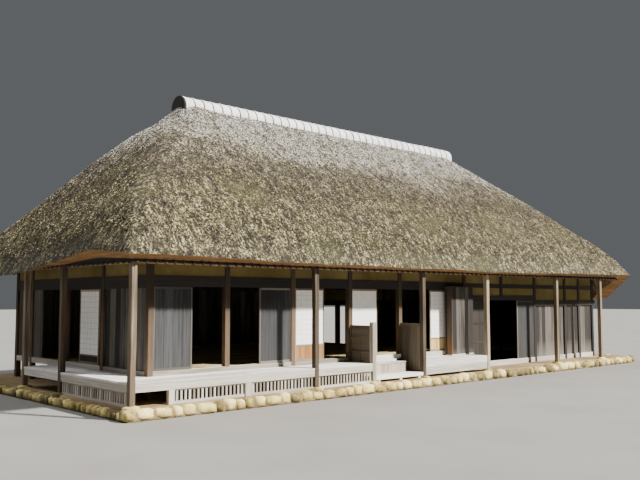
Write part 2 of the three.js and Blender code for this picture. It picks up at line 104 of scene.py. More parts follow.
class Finish:
    """One node material. A value given to a node is a number, a colour or another node's output."""

    def __init__(self, name, source="object"):
        self.material = bpy.data.materials.new(name)
        self.material.use_nodes = True
        self.shader = self.material.node_tree.nodes["Principled BSDF"]
        self.object = self.where = self.node("TexCoord").outputs["Object"]
        if source != "object":
            self.where = self.node("UVMap", uv_map=source).outputs["UV"]

    def node(self, kind, values=None, **settings):
        return add_node(self.material.node_tree, "ShaderNode" + kind, values, **settings)

    def scaled(self, stretch):
        stretch = stretch if isinstance(stretch, tuple) else (stretch,) * 3
        return self.node("Mapping", {"Vector": self.where, "Scale": stretch}).outputs[0]

    def noise(self, stretch, detail=5.0, rough=0.55):
        values = {"Vector": self.scaled(stretch), "Scale": 1.0, "Detail": detail,
                  "Roughness": rough}
        return self.node("TexNoise", values).outputs[0]

    def ramp(self, value, stops):
        made = self.node("ValToRGB", {"Fac": value})
        elements = made.color_ramp.elements
        elements.remove(elements[1])
        elements[0].position = stops[0][0]
        elements[0].color = (*stops[0][1], 1)
        for position, colour in stops[1:]:
            elements.new(position).color = (*colour, 1)
        return made.outputs[0]

    def mask(self, value, low, high):
        values = {"Value": value, "From Min": low, "From Max": high}
        return self.node("MapRange", values).outputs[0]

    def mix(self, factor, first, second, blend="MIX"):
        first, second = ((*v, 1) if isinstance(v, tuple) else v for v in (first, second))
        return self.node("Mix", {0: factor, 6: first, 7: second}, data_type="RGBA",
                         blend_type=blend, clamp_result=True).outputs[2]

    def shade(self, colour, value, stops):
        return self.mix(1.0, colour, self.ramp(value, stops), "MULTIPLY")

    def maths(self, operation, *values):
        return self.node("Math", dict(enumerate(values)), operation=operation).outputs[0]

    def height(self):
        return self.node("SeparateXYZ", {"Vector": self.object}).outputs["Z"]

    def attribute(self, name):
        return self.node("Attribute", attribute_name=name).outputs["Fac"]

    def cover(self, colour, roughness, relief, depth):
        bump = self.node("Bump", {"Height": relief, "Distance": depth, "Strength": 0.9})
        give(self.shader.inputs["Base Color"], colour)
        give(self.shader.inputs["Roughness"], roughness)
        give(self.shader.inputs["Normal"], bump.outputs[0])
        return self.material


def wood(name, dark, middle, light, contrast=1.0, stain=None, foot=None, source="grain",
         grain=(0.9, 26, 26)):
    """Timber with long fibres, broad streaks and a tint of its own on each board.

    A stain is a colour in spots. A foot is two heights and the colour the wood turns to between
    them, from none at the first to all at the second: real bleaching on some timbers, painted
    light on others.
    """
    f = Finish(name, source)
    fibre = f.noise(grain, 7, 0.65)
    broad = f.noise(tuple(g * 0.2 for g in grain), 3)
    tone = f.maths("MULTIPLY_ADD", fibre, 0.55 * contrast, 0.5 - 0.44 * contrast)
    tone = f.maths("ADD", tone, f.maths("MULTIPLY", broad, 0.35 * contrast))
    if source == "grain":
        tone = f.maths("ADD", tone, f.maths("MULTIPLY", f.attribute("tint"), 0.4))
    colour = f.ramp(tone, [(0.28, dark), (0.5, middle), (0.74, light)])
    if stain:
        spots = f.mask(f.noise(tuple(g * 0.3 for g in grain), 2), 0.56, 0.7)
        colour = f.mix(f.maths("MULTIPLY", spots, 0.75), colour, stain)
    if foot:
        # Lighter towards the foot: real bleaching on some timbers, painted light below painted
        # shade on others
        foot_wear_and_painted_light = f.maths("MULTIPLY", f.mask(f.height(), foot[0], foot[1]), fibre)
        colour = f.mix(foot_wear_and_painted_light, colour, foot[2])
    checks = f.mask(f.noise((grain[0] * 0.9, grain[1] * 2.2, grain[2] * 2.2), 2), 0.36, 0.3)
    colour = f.mix(f.maths("MULTIPLY", checks, 0.6), colour, tuple(c * 0.35 for c in dark))
    return f.cover(colour, 0.82, f.maths("SUBTRACT", fibre, checks), 0.004)


def surface(name, broad, stops, roughness, depth, fine=None, speck=None):
    """A broad mottle of colours, and over it specks of one colour where a fine noise is high."""
    f = Finish(name)
    relief = f.noise(*broad)
    colour = f.ramp(relief, stops)
    if fine:
        relief = f.noise(*fine)
        low, high, tone = speck
        colour = f.mix(f.mask(relief, low, high), colour, tone)
    return f.cover(colour, roughness, relief, depth)


def straw_mat():
    f = Finish("straw_mat", "grain")
    weave = f.node("TexWave", {"Vector": f.where, "Scale": 30.0, "Distortion": 0.6}).outputs[1]
    fade = f.noise((1.5, 2.5, 1), 3)
    colour = f.ramp(fade, [(0.3, (0.42, 0.35, 0.14)), (0.7, (0.56, 0.5, 0.24))])
    colour = f.mix(f.maths("MULTIPLY", weave, 0.25), colour, (0.3, 0.25, 0.1))
    return f.cover(colour, 0.85, weave, 0.002)


def thatch(name, stretch):
    """Weathered straw: bleached and grey towards the ridge, tan with moss lower down, and a darker
    belt between that is partly weathering, partly painted shadow.
    """
    f = Finish(name)
    across = f.noise(stretch, 4, 0.72)
    specks = f.noise(tuple(s * 1.7 for s in stretch), 3, 0.75)
    patches = f.noise((0.42, 0.42, 0.6), 4, 0.6)
    moss = f.noise((0.8, 0.8, 1.0), 5, 0.62)
    clumps = f.noise(tuple(s * 0.42 for s in stretch), 5, 0.72)
    level = f.maths("ADD", f.height(), f.maths("MULTIPLY", patches, 2.6))
    rise = f.mask(level, 6.1, 7.75)
    low = f.ramp(across, [(0.38, (0.055, 0.044, 0.024)), (0.5, (0.235, 0.2, 0.112)),
                          (0.62, (0.62, 0.555, 0.345))])
    high = f.ramp(across, [(0.38, (0.38, 0.34, 0.285)), (0.5, (0.82, 0.755, 0.66)),
                           (0.62, (1.0, 0.95, 0.86))])
    colour = f.mix(rise, low, high)
    # A darker belt across the middle: partly weathering, partly painted tree shadow
    dark_belt_wear_and_painted_shadow = f.maths("MULTIPLY", f.mask(level, 5.3, 6.4), f.mask(level, 7.4, 6.8))
    colour = f.mix(f.maths("MULTIPLY", dark_belt_wear_and_painted_shadow, 0.62), colour, (0.1, 0.072, 0.044))
    colour = f.shade(colour, clumps, [(0.42, (0.3, 0.29, 0.28)), (0.5, (0.9, 0.9, 0.9)),
                                      (0.58, (1.55, 1.53, 1.47))])
    colour = f.shade(colour, f.noise(24, 2, 0.7), [
        (0.45, (0.05, 0.047, 0.043)), (0.5, (0.8, 0.8, 0.8)), (0.56, (1.8, 1.78, 1.7))])
    growth = f.maths("MULTIPLY", f.mask(moss, 0.5, 0.68), f.mask(rise, 1.0, 0.2))
    colour = f.mix(f.maths("MULTIPLY", growth, 0.6), colour, (0.13, 0.13, 0.045))
    # Dark specks: painted shade in the gaps between straws
    colour = f.mix(f.mask(specks, 0.45, 0.38), colour, (0.075, 0.062, 0.042))
    # Each straw has a random tone of its own; the sheet beneath has a low one, painted shade
    # between the straws
    colour = f.shade(colour, f.attribute("shade"), [
        (0.0, (0.1, 0.095, 0.085)), (0.4, (0.6, 0.6, 0.59)), (1.0, (1.75, 1.7, 1.58))])
    return f.cover(colour, 0.95, specks, 0.025)


def cut_straw():
    """The trimmed edge of the thatch, where the ends of the reeds show."""
    f = Finish("cut_straw")
    ends = f.node("TexVoronoi", {"Vector": f.scaled(75), "Scale": 1.0},
                  feature="DISTANCE_TO_EDGE").outputs[0]
    layers = f.noise((1.2, 1.2, 30), 4, 0.6)
    colour = f.ramp(layers, [(0.3, (0.17, 0.075, 0.02)), (0.5, (0.30, 0.15, 0.045)),
                             (0.7, (0.44, 0.26, 0.1))])
    colour = f.mix(f.mask(ends, 0.12, 0.0), colour, (0.08, 0.045, 0.02))
    return f.cover(colour, 0.95, ends, 0.008)


def fieldstone():
    f = Finish("fieldstone")
    mottle, grit = f.noise(5, 6, 0.65), f.noise(70, 5, 0.7)
    tone = f.maths("ADD", mottle, f.maths("MULTIPLY", f.attribute("tint"), 0.5))
    colour = f.ramp(tone, [(0.3, (0.15, 0.115, 0.04)), (0.5, (0.55, 0.44, 0.15)),
                           (0.72, (0.86, 0.74, 0.33))])
    colour = f.mix(f.mask(grit, 0.55, 0.75), colour, (0.26, 0.215, 0.12))
    return f.cover(colour, 0.93, f.maths("ADD", mottle, grit), 0.006)


# Room posts: near black above 2.2 m, light brown below 1.6 m: painted shade under the eaves and
# painted sunlight below it, partly also weathering
POST_WOOD = wood("post_wear_and_painted_shade", (0.01, 0.006, 0.003), (0.032, 0.019, 0.01),
                 (0.1, 0.065, 0.038), foot=(2.2, 1.6, (0.17, 0.108, 0.06)))
OUTER_WOOD = wood("bleached_post", (0.022, 0.014, 0.008), (0.115, 0.082, 0.05),
                  (0.38, 0.31, 0.215), 1.3)
# Darkest timber: its own dark colour, darkened further as painted shade for the lintels and hall
# posts under the eaves
DARK_WOOD = wood("old_dark_timber_and_painted_shade", (0.006, 0.0045, 0.0035), (0.013, 0.0095, 0.0075),
                 (0.035, 0.025, 0.019))
# Board doors: near black above 2.15 m, lighter below 1.75 m where the eave's shadow ends: painted
# shade and painted sunlight, partly also bleaching
GREY_BOARD = wood("silver_board", (0.004, 0.0042, 0.0045), (0.012, 0.0122, 0.013),
                  (0.055, 0.056, 0.059), 1.3, foot=(2.15, 1.75, (0.052, 0.053, 0.057)))
# Wall boards: very dark, partly their own weathered colour, partly painted shade; the paler foot is
# real bleaching
WALL_BOARD = wood("wall_board", (0.005, 0.004, 0.003), (0.017, 0.014, 0.011),
                  (0.13, 0.114, 0.096), 1.4, foot=(0.85, 0.3, (0.27, 0.25, 0.22)))
# Shutter case side boards: orange-brown towards the foot, a painted glow of light thrown up from
# the bench
CASE_BOARD = wood("case_side_board", (0.03, 0.02, 0.013), (0.085, 0.058, 0.038),
                  (0.18, 0.13, 0.09), foot=(1.35, 0.6, (0.34, 0.16, 0.045)))
SCREEN_WOOD = wood("screen_board", (0.035, 0.026, 0.016), (0.09, 0.07, 0.046),
                   (0.18, 0.145, 0.1))
FLOOR_BOARD = wood("bleached_floor", (0.36, 0.34, 0.31), (0.62, 0.6, 0.57),
                   (0.82, 0.8, 0.77), 0.95)
EDGE_WOOD = wood("pale_edge_timber", (0.15, 0.13, 0.105), (0.38, 0.35, 0.3),
                 (0.62, 0.59, 0.54), 1.1)
STRAW_BOARD = wood("straw_skirt_board", (0.33, 0.21, 0.07), (0.54, 0.38, 0.15),
                   (0.7, 0.53, 0.25), 0.8)
TAN_BOARD = wood("tan_skirt_board", (0.15, 0.065, 0.018), (0.32, 0.155, 0.05),
                 (0.48, 0.27, 0.105), 1.1)
# Main door leaf: its own dark red-brown, darkened further as painted shade
RED_BROWN = wood("red_brown_panel", (0.010, 0.007, 0.005), (0.026, 0.0175, 0.012),
                 (0.06, 0.043, 0.03))
STEP_BOARD = wood("step_board", (0.13, 0.1, 0.07), (0.3, 0.245, 0.185), (0.5, 0.44, 0.36),
                  stain=(0.36, 0.18, 0.065))
POLE_WOOD = wood("roof_pole", (0.05, 0.03, 0.016), (0.15, 0.095, 0.05), (0.28, 0.19, 0.105))
SHOJI_WOOD = wood("shoji_wood", (0.1, 0.07, 0.045), (0.24, 0.185, 0.125), (0.4, 0.33, 0.25))
DOOR_FRAME = wood("door_frame", (0.035, 0.03, 0.025), (0.09, 0.08, 0.068), (0.19, 0.172, 0.15))
PLATE_WOOD = wood("plate_timber", (0.018, 0.012, 0.009), (0.045, 0.031, 0.023),
                  (0.1, 0.07, 0.052), source="object", grain=(1.2, 24, 24))
# Ochre plaster: its own hue, darkened well below plaster in light as painted shade under the eaves
PLASTER = surface("ochre_plaster", (1.3, 5, 0.6), [
    (0.3, (0.1, 0.07, 0.014)), (0.5, (0.16, 0.118, 0.028)), (0.7, (0.22, 0.172, 0.055))],
    0.93, 0.003, (60, 4, 0.7), (0.45, 0.8, (0.11, 0.082, 0.028)))
PAPER = surface("white_paper", ((25, 25, 9), 6, 0.7), [
    (0.35, (0.86, 0.855, 0.83)), (0.6, (0.95, 0.95, 0.935))], 0.9, 0.0006)
# Paper over the bars, darker than the rest: painted shade of the bars through the paper
PAPER_ON_BAR = surface("paper_with_painted_bar_shade", ((25, 25, 9), 6, 0.7), [
    (0.35, (0.6, 0.59, 0.55)), (0.6, (0.7, 0.69, 0.65))], 0.9, 0.0006)
UNDER_THATCH = surface("thatch_underside", ((18, 18, 3), 6, 0.7), [
    (0.3, (0.035, 0.025, 0.015)), (0.55, (0.12, 0.085, 0.045)), (0.75, (0.24, 0.17, 0.09))],
    0.95, 0.015)
TILE = surface("ridge_tile", ((2.2, 3.5, 3.5), 6, 0.65), [
    (0.3, (0.48, 0.49, 0.51)), (0.5, (0.76, 0.77, 0.79)), (0.68, (0.88, 0.885, 0.9))],
    0.62, 0.002, (45, 4, 0.7), (0.58, 0.8, (0.34, 0.34, 0.33)))
EARTH = surface("packed_earth", (0.9, 6, 0.6), [
    (0.3, (0.15, 0.1, 0.045)), (0.5, (0.26, 0.18, 0.085)), (0.7, (0.4, 0.305, 0.16))],
    0.96, 0.012, (40, 5, 0.75), (0.5, 0.75, (0.15, 0.11, 0.06)))
LONG_THATCH = thatch("thatch_long_slopes", (17, 8, 8))
END_THATCH = thatch("thatch_end_slopes", (8, 17, 8))
MAT, CUT_STRAW, STONE = straw_mat(), cut_straw(), fieldstone()
WALL_WOODS = [POST_WOOD, EDGE_WOOD, DARK_WOOD]


# Making pieces

def along_x(y=0, way=1):
    """Directions of a wall along x: a along it, b across it with the outside below zero."""
    def place(a0, a1, b0, b1, z0, z1):
        return a0, a1, *sorted((y + way * b0, y + way * b1)), z0, z1
    return place


def along_y(x=0, way=1):
    """The same for a wall along y."""
    def place(a0, a1, b0, b1, z0, z1):
        return *sorted((x + way * b0, x + way * b1)), a0, a1, z0, z1
    return place


WALLS = {"front": along_x(), "left": along_y(), "back": along_x(DEPTH, -1),
         "right": along_y(LENGTH, -1)}


def divide(start, end, count):
    return [start + (end - start) * i / count for i in range(count + 1)]


def strip(mesh, first, second):
    """Faces between two rows of points."""
    for (a, b), (c, d) in zip(pairwise(first), pairwise(second)):
        mesh.faces.new((a, b, d, c))


class Piece:
    """Boards, beams, poles and stones that make up one mesh."""

    def __init__(self, seed, place=WALLS["front"]):
        self.mesh = bmesh.new()
        self.part = self.mesh.verts.layers.int.new("part")
        self.runs = []
        self.chance = random.Random(seed)
        self.place = place

    def claim(self, verts, run, kind=0, smooth=False):
        """Marks new points as one part whose grain runs along the given direction."""
        for vert in verts:
            vert[self.part] = len(self.runs)
        for face in {face for vert in verts for face in vert.link_faces}:
            face.material_index = kind
            face.smooth = smooth
        self.runs.append(run.normalized())

    def board(self, a0, a1, b0, b1, z0, z1, kind=0, along=None):
        x0, x1, y0, y1, z0, z1 = self.place(a0, a1, b0, b1, z0, z1)
        size = Vector((x1 - x0, y1 - y0, z1 - z0))
        middle = Vector((x0 + x1, y0 + y1, z0 + z1)) / 2
        matrix = Matrix.Translation(middle) @ Matrix.Diagonal((*size, 1))
        run = Vector((0, 0, 0))
        run[max(range(3), key=lambda axis: size[axis]) if along is None else along] = 1
        self.claim(bmesh.ops.create_cube(self.mesh, size=1, matrix=matrix)["verts"], run, kind)

    def bar(self, run, half, levels, kind=0):
        """A board that reaches as far in front of the wall's line as behind it."""
        self.board(*run, -half, half, *levels, kind)

    def post(self, at, half, levels, kind=0):
        self.bar((at - half, at + half), half, levels, kind)

    def pole(self, start, end, thick, thin, sides=8, kind=0):
        """A round pole between two points, thinner at its end."""
        start, end = Vector(start), Vector(end)
        run = end - start
        turn = run.to_track_quat("Z", "Y").to_matrix().to_4x4()
        matrix = Matrix.Translation((start + end) / 2) @ turn
        verts = bmesh.ops.create_cone(
            self.mesh, cap_ends=True, segments=sides, radius1=thick / 2, radius2=thin / 2,
            depth=run.length, matrix=matrix)["verts"]
        self.claim(verts, run, kind, smooth=True)

    def stone(self, at, size, rough=0.16):
        """A rounded stone, a little squared."""
        verts = bmesh.ops.create_icosphere(self.mesh, subdivisions=2, radius=1)["verts"]
        shift = Vector([self.chance.random() * 60 for _ in range(3)])
        turn = Matrix.Rotation(self.chance.uniform(-0.3, 0.3), 3, "Z")
        for vert in verts:
            way = vert.co.normalized()
            reach = max(abs(c) for c in way) ** -0.86
            way = way * reach * (1 + rough * noise.noise(way * 1.7 + shift))
            shaped = Vector([way[axis] * size[axis] / 2 for axis in range(3)])
            vert.co = Vector(at) + turn @ shaped
        self.claim(verts, Vector((1, 0, 0)), smooth=True)

    def skin(self, rings, run, kind=0):
        """One closed part: rings of points, each joined to the next, with both ends filled."""
        rings = [[self.mesh.verts.new(point) for point in ring] for ring in rings]
        for first, second in pairwise(rings):
            strip(self.mesh, [*first, first[0]], [*second, second[0]])
        for ring in (rings[0], rings[-1]):
            self.mesh.faces.new(ring)
        self.claim([vert for ring in rings for vert in ring], run, kind)

    def hew(self, cuts=5, wander=0.004):
        """Long edges bend a little, as in hewn timber, but no sill rises into its panels."""
        long_edges = [edge for edge in self.mesh.edges if edge.calc_length() > 0.6]
        bmesh.ops.subdivide_edges(self.mesh, edges=long_edges, cuts=cuts, use_grid_fill=True)
        for vert in self.mesh.verts:
            here = vert.co * 1.6 + Vector((vert[self.part] * 7.3, 0, 0))
            shift = noise.noise_vector(here) * wander
            if min(abs(vert.co.z - top) for top in (SILL[1], HALL_SILL)) < 0.01:
                shift.z = min(shift.z, 0)
            vert.co += shift

    def soften(self, width, segments):
        sharp = [edge for edge in self.mesh.edges
                 if len(edge.link_faces) == 2 and edge.calc_face_angle() > 0.8]
        bmesh.ops.bevel(self.mesh, geom=sharp, offset=width, affect="EDGES", segments=segments,
                        profile=0.5, material=-1, clamp_overlap=True)

    def mark_grain(self):
        """A map that follows each part's grain, and one tint for each part."""
        grain = self.mesh.loops.layers.uv.new("grain")
        tint = self.mesh.verts.layers.float.new("tint")
        tints = [self.chance.uniform(-0.5, 0.5) for _ in self.runs]
        starts = [(self.chance.random() * 50, self.chance.random() * 50) for _ in self.runs]
        for vert in self.mesh.verts:
            vert[tint] = tints[vert[self.part]]
        for face in self.mesh.faces:
            part = face.verts[0][self.part]
            run, (u, v) = self.runs[part], starts[part]
            side = Vector((1, 1, 1)) - Vector([abs(c) for c in run])
            for loop in face.loops:
                here = loop.vert.co
                loop[grain].uv = (here.dot(run) + u, here.dot(side) + v)

    def finish(self, name, finishes, slot, replaces=(), body="house", edge=0.003, steps=1,
               hewn=False):
        """Rounds the sharp edges, marks the grain and puts the piece on its body."""
        if hewn:
            self.hew()
        if edge:
            self.soften(edge, steps)
        self.mark_grain()
        settle(name, self.mesh, finishes, replaces, body)


def add_object(name, data):
    thing = bpy.data.objects.new(name, data)
    bpy.context.scene.collection.objects.link(thing)
    return thing


def add_mesh(name, mesh, finishes):
    """Turns a finished bmesh into an object."""
    data = bpy.data.meshes.new(name)
    mesh.to_mesh(data)
    mesh.free()
    for finish in finishes:
        data.materials.append(finish)
    return add_object(name, data)


def settle(name, mesh, finishes, replaces=(), body="house"):
    """Moves a bmesh into the part's frame and makes it an object that rides on its body."""
    bmesh.ops.translate(mesh, vec=HOUSE, verts=mesh.verts)
    thing = add_mesh(name, mesh, finishes)
    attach(thing, body)
    if replaces:
        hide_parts(*replaces)
    return thing


def planks(piece, a0, a1, b0, b1, z0, z1, width, kind=0):
    """Upright boards side by side, none quite the same width or quite level with the next."""
    joints = divide(a0, a1, max(1, round((a1 - a0) / width)))
    for i in range(1, len(joints) - 1):
        joints[i] += piece.chance.uniform(-0.14, 0.14) * width
    for left, right in pairwise(joints):
        lean = piece.chance.uniform(-0.0025, 0.0025)
        piece.board(left + BOARD_GAP, right - BOARD_GAP, b0 + lean, b1 + lean, z0, z1, kind,
                    along=2)


def gaps_between(posts, run, half=POST):
    """The clear stretches of a run between its posts."""
    stops = [run[0], *(side for at in posts for side in (at - half, at + half)), run[1]]
    return [(a, b) for a, b in zip(stops[::2], stops[1::2]) if b - a > 0.02]


# Walls

def wall_pieces(seed):
    return [Piece(seed + i, place) for i, place in enumerate(WALLS.values())]


def room_wall(piece, run, posts, lintel, short=()):
    """Posts with a lintel, and a sill that has two grooves for the sliding panels."""
    foot, top = SILL
    groove = top - 0.006
    for at in posts:
        piece.post(at, POST, (top if at in short else 0, PLATE[0]))
    for bay in gaps_between([at for at in posts if at not in short], run):
        piece.bar(bay, 0.055, (foot, groove), 1)
        for b0, b1 in ((-0.055, -0.036), (-0.014, 0.014), (0.036, 0.055)):
            piece.board(*bay, b0, b1, groove, top, 1)
    for bay in gaps_between(posts, run):
        piece.bar(bay, 0.052, lintel, 2)


def hall_frame(piece, run, posts, top=PLATE[0], rail=True):
    # Hall posts in the darkest timber, partly painted shade
    for at in posts:
        piece.post(at, POST, (0, top), 2)
    for bay in gaps_between(posts, run):
        piece.bar(bay, 0.056, (0, HALL_SILL), 1)
        piece.bar(bay, 0.054, (BOARDS_TOP, BOARDS_RAIL), 2)
        if rail:
            piece.bar(bay, 0.043, RAIL, 2)


def wall_timbers():
    pieces = front, left, back, right = wall_pieces(11)
    room_wall(front, ROOM_RUN, ROOM_POSTS, LINTEL, short=[KEN])
    hall_frame(front, FRONT_HALL, FRONT_HALL_POSTS)
    front.bar(MAIN_DOOR, POST, (0, HALL_SILL), 1)
    front.bar(MAIN_DOOR, 0.058, DOOR_LINTEL, 2)
    front.post(STRUT, POST, (DOOR_LINTEL[1], PLATE[0]), 2)
    for bay in gaps_between([STRUT], MAIN_DOOR):
        front.bar(bay, 0.043, RAIL, 2)
    room_wall(left, SIDE_RUN, SIDE_POSTS, SIDE_LINTEL)
    room_wall(back, ROOM_RUN, ROOM_POSTS, LINTEL)
    hall_frame(back, BACK_HALL, BACK_HALL_POSTS)
    back.bar(BACK_BAY, POST, (0, HALL_SILL), 1)
    back.bar(BACK_BAY, 0.054, (BOARDS_TOP, BOARDS_RAIL), 2)
    back.bar(BACK_BAY, 0.043, RAIL, 2)
    hall_frame(right, RIGHT_RUN, RIGHT_POSTS, RIGHT_PLATE[0], rail=False)
    nodes = (["front_sill", "front_room_frame", "front_wall_over_door", "main_door_sill"],
             ["left_sill", "left_room_frame"], ["back_sill", "back_door_sill"], [])
    for side, piece, replaced in zip(WALLS, pieces, nodes):
        piece.finish(side + "_wall_timbers", WALL_WOODS, "beams", replaced, edge=0.004, hewn=True)


def wall_boards():
    rooms, left, hall = (SILL[1], LINTEL[0]), (SILL[1], SIDE_LINTEL[0]), (HALL_SILL, BOARDS_TOP)
    left_bays = [(POST, KEN - POST), (4.9, STUB - POST), (STUB + POST, DEPTH - POST)]
    by_back_door = [(BACK_BAY[0], BACK_DOOR[0]), BACK_DOOR[1:3], (BACK_DOOR[3], BACK_BAY[1])]
    walls = (
        (["front_case_wall", "front_hall_wall"], [
            ([(CASE_START, ROOMS_END - POST)], 0.028, rooms, 0.17),
            (gaps_between(FRONT_HALL_POSTS, FRONT_HALL), 0.018, hall, 0.19)]),
        (["left_boards_front", "left_boards_middle", "left_boards_back"], [
            (left_bays, 0.018, left, 0.2)]),
        (["back_room_wall", "back_door_wall", "back_hall_wall"], [
            (gaps_between(ROOM_POSTS, ROOM_RUN), 0.018, rooms, 0.2),
            (gaps_between(BACK_HALL_POSTS, BACK_HALL), 0.018, hall, 0.19),
            (by_back_door, 0.018, hall, 0.16)]),
        (["right_wall"], [(gaps_between(RIGHT_POSTS, RIGHT_RUN), 0.018, hall, 0.19)]))
    for side, piece, (nodes, fields) in zip(WALLS, wall_pieces(21), walls):
        for bays, half, levels, width in fields:
            for bay in bays:
                planks(piece, *bay, -half, half, *levels, width)
        piece.finish(side + "_wall_boards", [WALL_BOARD], "boards", nodes)


def wall_plaster():
    """Panels between the posts, and one strip over each plate up to the rafters."""
    over_lintel, under_rail = (LINTEL[1], PLATE[0]), (BOARDS_RAIL, RAIL[0])
    over_rail = (RAIL[1], PLATE[0])
    walls = (
        (["front_upper_wall"], LENGTH - 0.2, (PLATE[1], 3.34), [
            (ROOM_POSTS, ROOM_RUN, [over_lintel]),
            ([STRUT], MAIN_DOOR, [(DOOR_LINTEL[1], RAIL[0]), over_rail]),
            (FRONT_HALL_POSTS, FRONT_HALL, [under_rail, over_rail])]),
        (["left_upper_wall"], DEPTH - 0.03, (PLATE[1], 3.46), [
            (SIDE_POSTS, SIDE_RUN, [over_lintel])]),
        ([], LENGTH - 0.2, (PLATE[1], 3.34), [
            (ROOM_POSTS, ROOM_RUN, [over_lintel]),
            (BACK_HALL_POSTS, (BACK_BAY[0], LENGTH - POST), [under_rail, over_rail])]),
        ([], DEPTH - 0.03, (RIGHT_PLATE[1], 2.92), [
            (RIGHT_POSTS, RIGHT_RUN, [(BOARDS_RAIL, RIGHT_PLATE[0])])]))
    for side, piece, (nodes, end, over_plate, fields) in zip(WALLS, wall_pieces(31), walls):
        for posts, run, panels in fields:
            for bay in gaps_between(posts, run):
                for levels in panels:
                    piece.bar(bay, 0.031, levels)
        piece.bar((0.03, end), 0.031, over_plate)
        piece.finish(side + "_plaster", [PLASTER], "plaster", nodes)


def outer_frames():
    """Veranda and eaves posts with their beams, each side as one piece."""
    long_run, side_run = (OUTER_LEFT - POST, LENGTH + POST), (OUTER_FRONT + POST, OUTER_BACK - POST)
    for seed, (side, place, posts, run, beam) in enumerate((
            ("front", along_x(OUTER_FRONT), LONG_ROW, long_run, OUTER_BEAM),
            ("back", along_x(OUTER_BACK), LONG_ROW, long_run, OUTER_BEAM),
            ("left", along_y(OUTER_LEFT), VERANDA_POSTS, side_run, OUTER_BEAM),
            ("right", along_y(OUTER_RIGHT), AISLE_POSTS, (0.3, DEPTH - 0.3), AISLE_BEAM)), 41):
        piece, nodes = Piece(seed, place), ["outer_frame_" + side]
        for at in posts:
            piece.post(at, OUTER_POST, (0.02, beam[0]))
        piece.bar(run, POST, beam, 1)
        if side == "front":
            piece.post(STUB, OUTER_POST, (0.02, 1.4), 2)
            nodes.append("stub_post")
        piece.finish(side + "_outer_timbers", [OUTER_WOOD, DARK_WOOD, EDGE_WOOD], "timber", nodes,
                     edge=0.007, steps=2, hewn=True)


# Floors, verandas and the entry

FRONT_BAYS = gaps_between(OUTER_POSTS[:1], (LEFT_INNER, STUB - OUTER_POST), OUTER_POST)
SIDE_BAYS = gaps_between(VERANDA_POSTS[:1], (FRONT_INNER, VERANDA_POSTS[1] - OUTER_POST),
                         OUTER_POST)
NOSING = 0.05


def floors():
    boards = Piece(51)
    across, gap = 0.001, BOARD_GAP
    for x0, x1 in FRONT_BAYS:
        boards.board(x0, x1, OUTER_FRONT - NOSING, FRONT_INNER, *VERANDA)
    for split, (y0, y1) in zip((1.9, 2.75, 1.2, 3.3), pairwise(divide(FRONT_INNER, -POST, 4))):
        for x0, x1 in ((OUTER_LEFT - NOSING, split), (split, STUB - 0.02)):
            boards.board(x0 + across, x1 - across, y0 + gap, y1 - gap, *VERANDA)
    for y0, y1 in ((-POST, SIDE_BAYS[0][1]), SIDE_BAYS[1]):
        boards.board(OUTER_LEFT - NOSING, LEFT_INNER, y0 + across, y1, *VERANDA)
    for split, (x0, x1) in zip((1.4, 2.6, 0.9, 2.2), pairwise(divide(LEFT_INNER, -POST, 4))):
        for y0, y1 in ((-POST, split), (split, VERANDA_POSTS[1] + OUTER_POST)):
            boards.board(x0 + gap, x1 - gap, y0 + across, y1 - across, *VERANDA)
    boards.finish("veranda_boards", [FLOOR_BOARD], "floor",
                  ["veranda_floor_front", "veranda_floor_left"], edge=0.004)

    mats = Piece(52)
    width, length, band, end = (DEPTH - 2 * POST) / 7, 1.8, 0.028, ROOMS_END - POST
    for row in range(7):
        y0 = POST + row * width
        x0 = POST - (row % 2) * length / 2
        while x0 < end:
            left, right = max(x0, POST) + 0.002, min(x0 + length, end) - 0.002
            mats.board(left, right, y0 + band, y0 + width - band, 0.455, 0.505)
            for y in (y0 + 0.002, y0 + width - band):
                mats.board(left, right, y, y + 0.026, 0.455, 0.5055, 1)
            x0 += length
    mats.finish("straw_mats", [MAT, DARK_WOOD], "mats", ["room_floor"], edge=0)


def skirting():
    """Edge beams of the verandas and the lattices under them."""
    piece = Piece(53, along_x(OUTER_FRONT))
    corner_stud, middle_stud, pitch = (-0.055, 0.073), (1.71, 1.87), 0.094

    def lattice(a0, a1):
        for levels in ((0, 0.055), (0.245, EDGE_BEAM[0])):
            piece.bar((a0, a1), 0.018, levels)
        count = math.floor((a1 - a0) / pitch)
        first = (a0 + a1 - (count - 1) * pitch) / 2
        for i in range(count):
            at = first + i * pitch
            piece.board(at - 0.0225, at + 0.0225, -0.014, 0.014, 0.05, 0.25)

    piece.bar(FRONT_BAYS[0], 0.045, EDGE_BEAM)
    for stud in (corner_stud, middle_stud):
        piece.bar(stud, 0.043, (0, EDGE_BEAM[0]))
    lattice(corner_stud[1], middle_stud[0])
    lattice(middle_stud[1], FRONT_BAYS[0][1])
    for bay, piece.place in ((FRONT_BAYS[1], piece.place), (SIDE_BAYS[0], along_y(OUTER_LEFT))):
        piece.bar(bay, 0.045, EDGE_BEAM)
        lattice(*bay)
    piece.bar(SIDE_BAYS[1], 0.045, EDGE_BEAM)
    piece.finish("veranda_skirting", [EDGE_WOOD], "timber",
                 ["veranda_skirt_left", "veranda_skirt_right", "veranda_skirt_side",
                  "veranda_side_beam"])


